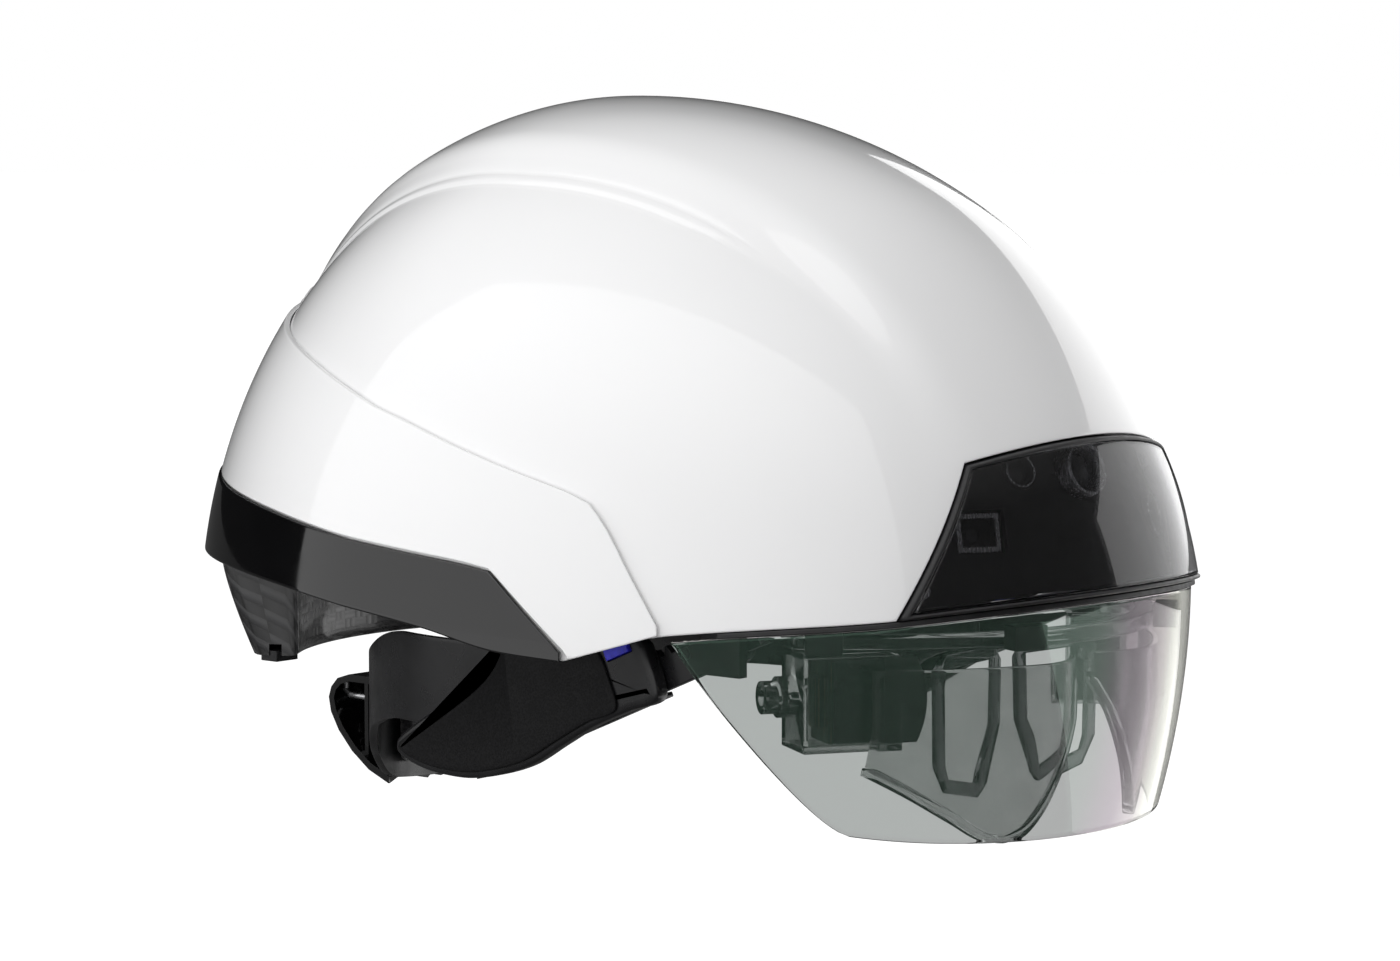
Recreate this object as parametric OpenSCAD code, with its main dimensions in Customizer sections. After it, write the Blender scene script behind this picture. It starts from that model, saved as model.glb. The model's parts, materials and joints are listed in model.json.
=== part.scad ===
// Augmented-reality hard hat: two-layer shell, sensor window, clear visor, display optics,
// ratchet suspension and a battery pack. Millimetres, +Z up, the front faces -Y, the wearer's
// right is -X. The origin is the middle of the head opening, on the shell's base plane.

/* [Shell] */
// Half the width of the shell at its base
shell_half_w = 112; // [106:1:118]
// From the head's middle to the front of the shell
shell_front = 164; // [158:1:170]
// From the head's middle to the back of the shell
shell_rear = 120; // [117:1:127]
// Height of the dome above the base plane, without the crest
shell_h = 139; // [135:1:145]
// Wall of the shell
shell_t = 3; // [2.5:0.5:3.5]
// How far the crest stands above the dome
crest_rise = 4; // [2:0.5:5]
// Half the width of the crest at the crown
crest_half_w = 47; // [44:1:52]
// Wall of the outer rear panel
panel_t = 1.3; // [1.1:0.1:1.6]
// Wall of the black band round the back
band_t = 1.8; // [1.6:0.1:2.4]

/* [Window and visor] */
// Wall of the smoked sensor window
cover_t = 2; // [1.5:0.5:2.5]
// Width of the seal round the sensor window
seal_w = 1.3; // [1:0.1:1.6]
// Wall of the clear visor
visor_t = 2.4; // [2:0.2:3]
// Lowest edge of the visor, below the base plane
visor_drop = 38; // [34:1:44]

/* [Suspension] */
// Half the distance between the two ratchet arms, to their inner faces
arm_x = 75.2; // [74:0.2:76]
// Thickness of a ratchet arm
arm_t = 2.6; // [2:0.2:3]
// Height of a ratchet arm below its teeth
arm_h = 8; // [7:0.5:9]
// Slope of the ratchet arms, down towards the back
arm_slope = 23; // [21:1:25]
// Pitch of the teeth along the arms
tooth_pitch = 3.8; // [3.4:0.1:4.2]
// Radius of the ratchet knob
knob_r = 17; // [15:0.5:17.5]
// Pitch radius of the knob's pinion
pinion_r = 4; // [3.5:0.5:4.5]
// Teeth on the pinion, an even number
pinion_teeth = 8; // [6:2:10]

/* [Battery] */
// Radial thickness of the battery pack
pack_t = 21.5; // [18:0.5:22.5]
// Underside of the battery pack, below the base plane
pack_drop = 10; // [6:1:12]

/* [Hidden] */
$fn = 48;
SIDES = ["right", "left"];

window_low = [21.9, 17.8];   // lower edge of the window opening, at its middle and its corner
window_top = [59, 53.9];     // upper edge, at its middle and its corner
window_phi = [34.2, 23.5];   // half angles of its lower and upper edges
WINDOW_STEPS = 4;            // facets along half of the window's upper edge
SIDE_STEPS = 3;              // facets along each of its side edges
// Heights of edges round the shell: angle from the front, then height
rim_edge = concat(
    [for (k = [0:WINDOW_STEPS]) let (u = k / WINDOW_STEPS)
        [window_phi[1] * u, mix(window_top[0], window_top[1], u * u) + 0.15]],
    [[34.2, 17.8], [57, 13.5], [66.7, 6.5], [73, 9], [82, 14], [93, 18], [106, 21], [120, 22.6],
     [180, 24]]);
seam_edge = [[57.5, 15.5], [60.2, 27.9], [62.7, 39.4], [64.3, 44.4], [66.6, 46.8], [72, 50.9],
             [79, 56.4], [87, 62.8], [97, 69], [110, 75.5], [126, 81.2], [150, 87.5], [180, 90.6]];
band_top = [[66.7, 8.5], [74, 27.2], [77, 28.6], [83, 30.4], [92, 33], [108, 37.5], [123, 40.4],
            [150, 44.5], [180, 46.8]];
band_low = [[66.7, 6.5], [73, 7.9], [81, 12.5], [93, 16.8], [105, 19.6], [120, 21.3], [150, 22.5],
            [180, 23]];
liner_edge = [[0, 64], [36, 60], [52, 34], [90, 26], [140, 40], [180, 46]];
trim_phi = 52;               // half angle that the rim trim runs over
trim_h = 1.4;
crest_ramp = 13;             // width of the slopes at the crest's sides
visor_phi = 56.5;             // half angle of the visor's upper edge
visor_low_phi = 38;          // half angle of the visor's lower edge
visor_taper = 0.0023;        // how fast the visor pulls in below visor_top_z
visor_top_z = 20;
gap = 0.3;                   // between neighbouring moulded parts

// Sensors: [x, z, radius] on the window
tracking_at = [-6, 48, 6.9];
depth_at = [-35, 36];
depth_half = [6.2, 5.2];     // half the width and height of the depth camera's case
side_at = [[-46.5, 35, 3], [-22, 49, 4.5], [42, 35, 4], [24, 36, 6]];
sensor_depth = 12;           // from the window's outer face back to the sensors' seats

// Suspension layout
pivot = [-96, 10.6];         // y and z of the arms' pivot
arm_len = 84;                // from the pivot to the arm's rear end
rear_y = 71;                 // outer face of the occipital band at the back
band_half_w = arm_x - gap;   // its half width
rack_z = -32.5;              // height of the pinion's axis
rack_y = rear_y + 0.8;       // front faces of the racks
rack_t = 2.4;
rack_h = 1.3;                // height of a rack below its teeth
backlash = 0.45;             // slack between rack and pinion teeth
knob_y = rack_y + rack_t + 2.8;
knob_t = 11;

// ---- shared functions ----
function mix(a, b, t) = a + (b - a) * t;
function smooth(t) = t <= 0 ? 0 : t >= 1 ? 1 : t * t * (3 - 2 * t);
function unit(v) = v / norm(v);
function crest_half(y) = crest_half_w - (y < -10 ? 0.052 * (-10 - y) : y > 0 ? 0.0016 * y * y : 0);
function crest(x, y) =
    crest_rise * smooth((crest_half(y) - abs(x)) / crest_ramp + 0.5) * smooth((y + 150) / 60)
        * smooth((116 - y) / 30);

// A point of the dome at an angle from the front (positive towards the wearer's right) and a
// height, moved outwards by off, without and with the crest
function dome(phi, z, off) =
    let (h = shell_h + off,
         lift = sqrt(max(0, 1 - pow(z / h, 2))),
         long = (abs(phi) < 90 ? shell_front : shell_rear) + off)
    [-(shell_half_w + off) * sin(phi) * lift, -long * cos(phi) * lift, z];
function crested(phi, z, off) =
    let (p = dome(phi, z, off),
         long = p.y < 0 ? shell_front : shell_rear,
         n = unit([p.x / pow(shell_half_w, 2), p.y / pow(long, 2), p.z / pow(shell_h, 2)]))
    p + n * crest(p.x, p.y);
// The dome's angle and depth at a given x on the front
function front_y(x, z, off) =
    let (h = shell_h + off, lift = 1 - pow(z / h, 2), w = shell_half_w + off)
    -(shell_front + off) * sqrt(max(0, lift - pow(x / w, 2)));
// Where the visor's wall lies, pulled in below visor_top_z
function visor_wall(phi, z, off) =
    let (pull = visor_taper * pow(max(0, visor_top_z - z), 2), p = dome(phi, visor_top_z, off - pull))
    [p.x, p.y, z];
function visor_y(x, z, off) =
    let (pull = visor_taper * pow(max(0, visor_top_z - z), 2))
    front_y(x, visor_top_z, off - pull);
function window_point(u, v, off) =
    let (p_low = u * window_phi[0], p_top = u * window_phi[1],
         phi = mix(p_low, p_top, v),
         z = mix(mix(window_low[0], window_low[1], u * u), mix(window_top[0], window_top[1], u * u), v))
    dome(phi, z, off);

// ---- solids from grids of points ----
function flat(rows) = [for (r = rows) each r];
function grid_faces(rows, cols, start, flip) =
    [for (i = [0:rows - 2], j = [0:cols - 2])
        let (a = start + i * cols + j, b = a + 1, c = a + cols, d = c + 1)
        each flip ? [[a, d, b], [a, c, d]] : [[a, b, d], [a, d, c]]];
// Closes the space between two grids of the same size
module patch_solid(outer, inner) {
    rows = len(outer);
    cols = len(outer[0]);
    n = rows * cols;
    top = (rows - 1) * cols;
    polyhedron(concat(flat(outer), flat(inner)), concat(
        grid_faces(rows, cols, 0, false),
        grid_faces(rows, cols, n, true),
        [for (j = [0:cols - 2]) each [[j, n + j, j + 1], [j + 1, n + j, n + j + 1]]],
        [for (j = [0:cols - 2]) each [[top + j, top + j + 1, n + top + j],
                                      [top + j + 1, n + top + j + 1, n + top + j]]],
        [for (i = [0:rows - 2]) let (a = i * cols, b = a + cols)
            each [[a, b, n + a], [b, n + b, n + a]]],
        [for (i = [0:rows - 2]) let (a = i * cols + cols - 1, b = a + cols)
            each [[a, n + a, b], [b, n + a, n + b]]]), convexity = 6);
}
// Closes a dome: two grids of rings, each with a point at its top
module dome_solid(outer, inner, outer_top, inner_top) {
    rows = len(outer);
    cols = len(outer[0]);
    n = rows * cols;
    last = (rows - 1) * cols;
    polyhedron(concat(flat(outer), flat(inner), [outer_top, inner_top]), concat(
        [for (i = [0:rows - 2], j = [0:cols - 1])
            let (k = (j + 1) % cols, a = i * cols + j, b = i * cols + k, c = a + cols, d = b + cols)
            each [[a, d, b], [a, c, d], [n + a, n + b, n + d], [n + a, n + d, n + c]]],
        [for (j = [0:cols - 1]) let (k = (j + 1) % cols)
            each [[j, k, n + j], [k, n + k, n + j],
                  [last + j, 2 * n, last + k], [n + last + k, 2 * n + 1, n + last + j]]]),
        convexity = 6);
}
// Closes a ring: loops of points that lie round its section
module ring_solid(loops) {
    rows = len(loops);
    cols = len(loops[0]);
    polyhedron(flat(loops), [for (i = [0:rows - 1], j = [0:cols - 1])
        let (p = (i + 1) % rows, k = (j + 1) % cols)
        each [[i * cols + j, p * cols + k, i * cols + k], [i * cols + j, p * cols + j, p * cols + k]]],
        convexity = 6);
}
module dome_layer(edge, off_out, off_in, rows, phis, with_crest) {
    function ring_rows(off) = [for (i = [0:rows]) [for (phi = phis)
        let (h = shell_h + off,
             low = asin(lookup(abs(phi), edge) / h),
             z = h * sin(mix(low, 87, i / rows)))
        with_crest ? crested(phi, z, off) : dome(phi, z, off)]];
    rise = with_crest ? crest_rise : 0;
    dome_solid(ring_rows(off_out), ring_rows(off_in),
               [0, 0, shell_h + off_out + rise], [0, 0, shell_h + off_in + rise]);
}
// A layer round the back between two edges, from the right side to the left
back_phis = concat([74], [for (p = [80:8:176]) p], [180], [for (p = [184:8:280]) p], [286]);
module rear_layer(low, top, off_out, off_in, rows, phis, with_crest) {
    function layer(off) = [for (i = [0:rows]) [for (phi = phis)
        let (a = abs(phi > 180 ? phi - 360 : phi), b = phi > 180 ? phi - 360 : phi,
             z = mix(lookup(a, low), lookup(a, top), i / rows))
        with_crest ? crested(b, z, off) : dome(b, z, off)]];
    patch_solid(layer(off_out), layer(off_in));
}
function window_grid(off, inset, cols, rows) =
    [for (i = [0:rows]) [for (j = [0:cols])
        window_point(mix(-1 + inset / 40, 1 - inset / 40, j / cols),
                     mix(inset / 36, 1 - inset / 36, i / rows), off)]];
function window_loop(off, inset) =
    let (u = 1 - inset / 40, v0 = inset / 36, v1 = 1 - inset / 36, n = 2 * WINDOW_STEPS, m = SIDE_STEPS)
    concat([for (i = [0:n - 1]) window_point(mix(-u, u, i / n), v0, off)],
           [for (i = [0:m - 1]) window_point(u, mix(v0, v1, i / m), off)],
           [for (i = [0:n - 1]) window_point(mix(u, -u, i / n), v1, off)],
           [for (i = [0:m - 1]) window_point(-u, mix(v1, v0, i / m), off)]);
module on_side(side) {
    if (side == "left") mirror([1, 0, 0]) children(); else children();
}
// Stands children with their +Z out through the window at [x, z], set back by depth
module at_window(x, z, depth) {
    y = front_y(x, z, -depth);
    tilt = atan(z * pow(shell_front, 2) / (-y * pow(shell_h, 2)));
    turn = atan(x * pow(shell_front, 2) / (-y * pow(shell_half_w, 2)));
    translate([x, y, z]) rotate([0, 0, turn]) rotate([90 - tilt * 0.75, 0, 0]) children();
}
module tube(r_out, r_in, h) {
    difference() {
        cylinder(r = r_out, h = h);
        translate([0, 0, -1]) cylinder(r = r_in, h = h + 2);
    }
}

// ---- shell ----
half_phis = concat([for (k = [1:WINDOW_STEPS]) window_phi[1] * k / WINDOW_STEPS],
    [for (k = [1:SIDE_STEPS]) mix(window_phi[1], window_phi[0], k / SIDE_STEPS)],
    [39, 45, 51, 57, 62, 66.7, 74], [for (p = [80:8:176]) p]);
shell_phis = concat([for (k = [len(half_phis) - 1:-1:0]) -half_phis[k]], [0], half_phis, [180]);
module upper_shell() {
    color("white") dome_layer(rim_edge, 0, -shell_t, 13, shell_phis, true);
}
panel_low = concat([[57.5, 13.9], [66, 7.2], [66.4, 9]],
                   [for (e = band_top) if (e[0] > 70) [e[0], e[1] + 0.5]]);
module rear_panel() {
    ends = [57.5, 60.2, 62.7, 64.3, 66, 66.4, 69];
    phis = concat(ends, back_phis, [for (i = [6:-1:0]) 360 - ends[i]]);
    color("white") rear_layer(panel_low, seam_edge, gap + panel_t, gap, 5, phis, true);
}
module rear_band() {
    ends = [66.9, 68.7, 71];
    phis = concat(ends, back_phis, [for (i = [2:-1:0]) 360 - ends[i]]);
    color("black") rear_layer(band_low, band_top, gap + band_t, gap, 4, phis, true);
}
function front_low(phi) = abs(phi) > window_phi[0] ? lookup(abs(phi), rim_edge)
    : mix(window_low[0], window_low[1], pow(phi / window_phi[0], 2));
module rim_trim() {
    function strip(off) = [for (dz = [-trim_h - 0.1, -0.1])
        [for (phi = [-trim_phi:6.5:trim_phi]) dome(phi, front_low(phi) + dz, off)]];
    color("black") patch_solid(strip(0), strip(-shell_t));
}
module visor_catches() {
    reach = [-4, -9.3];     // offsets of a catch's outer and inner faces
    color("black") for (phi = [-41, -17, 17, 41]) {
        p = visor_wall(phi, visor_top_z, (reach[0] + reach[1]) / 2);
        turn = atan(p.x * pow(shell_front, 2) / (-p.y * pow(shell_half_w, 2)));
        translate([p.x, p.y, 12.4]) rotate([0, 0, turn])
            cube([9, reach[0] - reach[1], 6], center = true);
    }
}
module inner_liner() {
    phis = [for (p = [-170:10:180]) p];
    color("dimgray") dome_layer(liner_edge, -13, -16, 7, phis, false);
}

// ---- sensor window ----
module sensor_cover() {
    inset = seal_w + 0.2;
    color("dimgray") patch_solid(window_grid(1.2, inset, 16, 4),
                                 window_grid(1.2 - cover_t, inset, 16, 4));
}
module cover_seal() {
    color("black") ring_solid([window_loop(1.4, 0.25), window_loop(1.4, seal_w),
                               window_loop(-shell_t, seal_w), window_loop(-shell_t, 0.25)]);
}
module sensor_bezel() {
    color("black") difference() {
        patch_solid(window_grid(-5.5, 1.5, 12, 3), window_grid(-7.5, 1.5, 12, 3));
        at_sensor(tracking_at) cylinder(r = tracking_at.z + gap, h = 30);
        at_sensor(depth_at) linear_extrude(30) square(2 * (depth_half + [gap, gap]), center = true);
        for (s = side_at) at_sensor(s) cylinder(r = s.z + gap, h = 30);
    }
}
module cover_screws() {
    color("gray") for (s = [-1, 1], spot = [[39, 49.5], [53, 24]])
        at_window(s * spot.x, spot.y, 5.3) difference() {
            cylinder(r = 1.8, h = 1.4);
            translate([0, 0, 0.6]) cylinder(r = 0.9, h = 1, $fn = 6);
        }
}
module at_sensor(spot) { at_window(spot.x, spot.y, sensor_depth) children(); }
module tracking_camera() {
    color("darkgray") at_sensor(tracking_at) difference() {
        union() {
            cylinder(r = tracking_at.z, h = 9);
            translate([0, 0, -6]) cylinder(r = 8, h = 6.1);
        }
        translate([0, 0, 3]) cylinder(r = tracking_at.z - 1.3, h = 9);
    }
}
module depth_box(inset, low, high) {
    translate([0, 0, low]) linear_extrude(high - low)
        square(2 * (depth_half - [inset, inset]), center = true);
}
module depth_camera() {
    color("black") at_sensor(depth_at) difference() {
        depth_box(0, -4, 4);
        depth_box(1, -2, 6);
        translate([0, 0, -5]) cylinder(r = 2, h = 5);
    }
}
module depth_window() {
    color("gray") at_sensor(depth_at) difference() {
        depth_box(1.1, -1.9, 0.1);
        translate([0, 0, -0.6]) cylinder(r = 3, h = 2);
    }
}
module side_cameras() {
    color("black") for (s = side_at) at_sensor(s) difference() {
        cylinder(r = s.z, h = 7);
        translate([0, 0, 4]) cylinder(r = s.z - 1.1, h = 7);
    }
}
module main_board() {
    color("darkgreen") translate([-36, -129, 24]) cube([72, 1.6, 32]);
    color("silver") {
        translate([-16, -127.3, 28]) cube([32, 5, 24]);
        translate([22, -127.3, 32]) cube([9, 3, 12]);
    }
}

// ---- visor ----
visor_rows = 7;
function visor_grid(off) = [for (i = [0:visor_rows]) [for (j = [-14:14])
    let (v = i / visor_rows,
         reach = mix(visor_low_phi, visor_phi, pow(v, 0.65)),
         phi = reach * j / 14,
         top = front_low(phi) - trim_h - gap,
         low = -visor_drop + 3 * pow(phi / visor_low_phi, 4) * (1 - v))
    visor_wall(phi, mix(low, top, v), off)]];
module visor() {
    color("lightcyan", 0.35) patch_solid(visor_grid(-0.8), visor_grid(-0.8 - visor_t));
}

// ---- display optics, drawn for the wearer's right eye ----
optics_turn = 58;            // how far a display module turns in from straight ahead
module at_module() { translate([-56, -113, 0]) rotate([0, 0, optics_turn]) children(); }
lens_x = [-58, -4];          // outer and nasal ends of a combiner
lens_gap = 3.5;               // between a combiner and the visor
lens_low = [[4, 0], [8, 8], [14, 20], [20, 31], [24, 35.5], [28, 37], [32, 36], [40, 31], [50, 24],
            [58, 18.5]];    // distance from the middle, depth of the lower edge
function lens_point(x, v, off) =
    let (z = mix(-lookup(-x, lens_low), 5, v), nose = pow(max(0, 1 + x / 24), 2))
    [x, visor_y(x, min(z, -10), -0.8 - visor_t - lens_gap - off) + 12 * nose, z];
function lens_grid(off) = [for (i = [0:5]) [for (j = [0:12])
    lens_point(mix(lens_x[0], lens_x[1], j / 12), i / 5, off)]];
module combiner() { color("lightgray", 0.4) patch_solid(lens_grid(0), lens_grid(1.8)); }
module combiner_rim() {
    n = 16;
    function edge(off, drop) = [for (j = [0:n])
        lens_point(mix(lens_x[0], lens_x[1], j / n), 0, off) - [0, 0, drop]];
    color("gray", 0.5)
        patch_solid([edge(-0.6, 2.2), edge(-0.6, 0.15)], [edge(2.4, 2.2), edge(2.4, 0.15)]);
}
module optics_bar() {
    function rail(off) = [for (z = [9.3, 13.3])
        [for (phi = [-44:5.5:44]) visor_wall(phi, z, off)]];
    color("gray", 0.5) {
        patch_solid(rail(-9.5), rail(-15));
        for (s = [-1, 1], x = [12, 44]) let (y = visor_y(x, 8, -12.2))
            translate([s * x - 3, y - 3, 13.2]) cube([6, 5, 9]);
    }
}
module display_housing() {
    color("gray", 0.5) at_module() difference() {
        translate([-7, -13, -15]) cube([16, 25, 24]);
        translate([-5.6, -14, -13.6]) cube([13.2, 24.6, 21.2]);
    }
}
module display_board() {
    color("darkgreen") at_module() translate([-5.2, 3.9, -13]) cube([12.4, 1.4, 20]);
    color("goldenrod") at_module() translate([-4, 5.4, -9]) cube([10, 3, 12]);
}
module display_engine() {
    color("darkslategray") at_module() difference() {
        translate([-5.2, -9, -13]) cube([12.4, 12.6, 20]);
        translate([1, -10, -3]) rotate([-90, 0, 0]) cylinder(r = 4, h = 6);
    }
}
module relay_lens() {
    color("black") at_module() intersection() {
        translate([-5.4, -21, -13.4]) cube([12.8, 11.7, 20.8]);
        translate([1, 2, -3]) rotate([0, 90, 0]) cylinder(r = 22, h = 15, center = true);
    }
}
module eye_frame() {
    color("dimgray") translate([-19.5, -122.5, -8]) rotate([90, 0, 6]) difference() {
        linear_extrude(1.8) eye_outline(0);
        translate([0, 0, -1]) linear_extrude(4) eye_outline(3.5);
    }
}
module eye_outline(inset) {
    polygon([[-15.5 + inset, 10 - inset], [-11, 14 - inset], [12.5, 14 - inset], [16 - inset, 10],
             [15.4 - inset, -6], [9 - inset, -20 + inset], [4.5, -23 + inset], [-10, -20 + inset],
             [-15 + inset, -13]]);
}
module optics_screws() {
    color("silver") for (side = SIDES) on_side(side) at_module() translate([1, 12.1, -2])
        rotate([-90, 0, 0]) {
            cylinder(r = 5, h = 4);
            translate([0, 0, 3.9]) tube(4, 2, 4);
        }
}

// ---- suspension fixed in the shell ----
head_w = 78;                 // half width and half length of the head opening
head_l = 98;
head_top = 104;              // underside of the crown straps
strap_w = 20;
strap_t = 1.2;
strap_lift = 2.4;            // from one strap to the one that crosses over it
clip_ends = [94.6, 102, 88.2, 93.6];   // from the middle: rear, front, rear of a side, front of a side
function ellipse(a, b, from, to, n) =
    [for (i = [0:n]) let (t = mix(from, to, i / n)) [a * cos(t), b * sin(t)]];
module arch(half_span, height, from) {
    rotate([90, 0, 0]) linear_extrude(strap_w, center = true) polygon(concat(
        ellipse(half_span + strap_t, height + strap_t, from, 180 - from, 28),
        ellipse(half_span, height, 180 - from, from, 28)));
}
// Half the distance between a strap's two ends, at a heading from straight ahead
function strap_span(heading) =
    1 / sqrt(pow(sin(heading) / head_w, 2) + pow(cos(heading) / head_l, 2)) + 2;
module crown_strap(heading, layer) {
    color("black") rotate([0, 0, 90 + heading])
        arch(strap_span(heading) + strap_lift * layer, head_top + strap_lift * layer, 24);
}
module strap_clips() {
    color("black") for (k = [0:2], front = [0, 1]) let (heading = [0, 55, -55][k]) {
        reach = (strap_span(heading) + strap_lift * k) * cos(24) + 1.6;
        rotate([0, 0, 90 + heading + 180 * front]) translate([reach, -12, 31])
            cube([clip_ends[(k == 0 ? 0 : 2) + front] - reach, 24, 16]);
    }
}
module front_headband() {
    color("black") translate([0, 0, 13]) linear_extrude(18) difference() {
        polygon(concat(ellipse(head_w + 3, head_l + 3, 180, 360, 36)));
        polygon(concat(ellipse(head_w + 1.2, head_l + 1.2, 180, 360, 36), [[100, 5], [-100, 5]]));
    }
}
module brow_pad() {
    color("dimgray") translate([0, 0, 11.5]) linear_extrude(19) polygon(concat(
        ellipse(head_w + 0.9, head_l + 0.9, 215, 325, 24),
        ellipse(head_w - 7, head_l - 7, 325, 215, 24)));
}
module arm_brackets() {
    color("black") for (side = SIDES) on_side(side) {
        translate([-arm_x - arm_t - 3.2, pivot.x - 6, 3.5]) cube([2.8, 12, 21]);
        translate([-arm_x - arm_t - 0.5, pivot.x, pivot.y]) rotate([0, 90, 0]) cylinder(r = 2.5, h = 5.6);
        translate([-arm_x + 1.1, pivot.x, pivot.y]) rotate([0, 90, 0]) cylinder(r = 4.5, h = 1.4);
    }
}

// ---- ratchet arms ----
// Places children in an arm's own plane: X runs back along the arm and Y up across it
module in_arm_plane() {
    multmatrix([[0, 0, -1, -arm_x], [cos(arm_slope), sin(arm_slope), 0, pivot.x],
                [-sin(arm_slope), cos(arm_slope), 0, pivot.y], [0, 0, 0, 1]]) children();
}
arm_teeth = floor((arm_len - 20) / tooth_pitch);
module ratchet_arm() {
    top = arm_h / 2;
    color("black") in_arm_plane() linear_extrude(arm_t) difference() {
        union() {
            circle(r = 5.5);
            translate([-12, -3]) square([14, 6]);
            polygon(concat([[0, -top], [arm_len, -top], [arm_len, top]],
                [for (k = [arm_teeth - 1:-1:0]) let (x = 18 + k * tooth_pitch)
                    each [[x + 2.6, top], [x + 1.7, top + 2.2], [x + 1.1, top + 2.2], [x, top]]],
                [[0, top]]));
        }
        circle(r = 2.56);
    }
}

// ---- cradle ----
paddle_outline = [[22.8, -5.7], [33, -5.7], [46, -5.7], [58, -7], [69.4, -8.4], [80.4, -7.6],
                  [90.4, -5.4], [97.4, -2.6], [104.4, 1.2], [110, 5.6], [112.4, 9], [111, 11.6],
                  [103.4, 13.4], [92.4, 15], [80.7, 17.2], [74.4, 19.2], [69.7, 22], [65.4, 27.5],
                  [61.4, 26], [56.4, 22.5], [48, 18], [40, 13.5], [33, 12], [26, 11.7], [23.2, 10],
                  [21.8, 7]];
button_at = [30, 9.2];       // middle of the release button's slot, along and across the arm
paddle_t = 4.6;
module paddle() {
    color("black") difference() {
        in_arm_plane() union() {
            translate([0, 0, arm_t + gap]) linear_extrude(paddle_t) polygon(paddle_outline);
            translate([0, 0, -gap]) linear_extrude(arm_t + 3 * gap) {
                translate([24, -arm_h / 2 - 1.6]) square([68, 1.3]);
                translate([36, arm_h / 2 + 2.6]) square([40, 2]);
            }
        }
        in_arm_plane() translate([button_at.x - 4.2, button_at.y - 1.9, -5]) cube([8.4, 3.8, 20]);
    }
}
module side_panel() {
    color("dimgray") in_arm_plane() translate([0, 0, arm_t + gap + paddle_t]) linear_extrude(0.8)
        polygon([[36, -4.2], [46, -4.3], [58, -5.5], [69.4, -6.8], [80, -6], [90, -3.8], [97, -1],
                 [103.6, 2.6], [108.6, 6.4], [110.8, 9.2], [110, 10.4], [103, 11.9], [92, 13.5],
                 [80.4, 15.7], [73.6, 17.8], [68.4, 21], [64.8, 25.6], [61.6, 24.4], [56.8, 21],
                 [48, 16.4], [40, 12], [36, 10.6], [35.2, 4]]);
}
module release_button() {
    color("blue") in_arm_plane() {
        translate([button_at.x - 3.9, button_at.y - 1.6, arm_t + gap + 1]) cube([7.8, 3.2, 4.6]);
        translate([button_at.x - 3, button_at.y - 1.2, 1.9]) cube([6, 2.4, arm_t + gap - 0.8]);
    }
}
module side_pad() {
    color("dimgray") in_arm_plane() translate([0, 0, -gap - 7.5]) linear_extrude(5.5)
        polygon([for (p = paddle_outline) [mix(80, p.x, 0.78), mix(6, p.y, 0.72)]]);
}
// The band's edges: angle from the back, then height; past 90 it runs straight forward
nape_low = [[0, -47], [23, -44.5], [40, -34], [55, -24], [75, -19], [90, -19], [130, -11]];
nape_top = [[0, -16], [23, -14], [50, -4], [75, 4], [90, 4], [130, -1]];
function nape_point(t, off) =
    abs(t) <= 90 ? [-(band_half_w + off) * sin(t), (rear_y + off) * cos(t)]
                 : [-(band_half_w + off) * sign(t), -(abs(t) - 90) * 1.3];
function nape_grid(off, t_max, n, inset) = [for (v = [0, 0.5, 1]) [for (j = [0:n])
    let (t = mix(t_max, -t_max, j / n), p = nape_point(t, off))
    [p.x, p.y, mix(lookup(abs(t), nape_low) + inset, lookup(abs(t), nape_top) - inset, v)]]];
window_x = 46;               // where the band's two openings are
module occipital_band() {
    color("black") difference() {
        patch_solid(nape_grid(0, 130, 26, 0), nape_grid(-2, 130, 26, 0));
        for (s = [-1, 1]) translate([s * window_x, 55, -17]) rotate([90, 0, -s * 52]) intersection() {
            translate([-5, 0, 0]) cylinder(r = 11, h = 30, center = true);
            translate([5, 0, 0]) cylinder(r = 11, h = 30, center = true);
        }
        translate([0, 60, rack_z]) rotate([-90, 0, 0]) cylinder(r = 2.56, h = 20);
    }
}
module nape_pad() {
    color("dimgray") patch_solid(nape_grid(-2.6, 26, 10, 3), nape_grid(-8, 26, 10, 3));
}
cover_half_w = 31;
module band_plug() {
    translate([0, 0, -70]) linear_extrude(80) polygon(concat([[-90, 20]],
        [for (j = [0:30]) nape_point(mix(75, -75, j / 30), 0)], [[90, 20]]));
}
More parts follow.
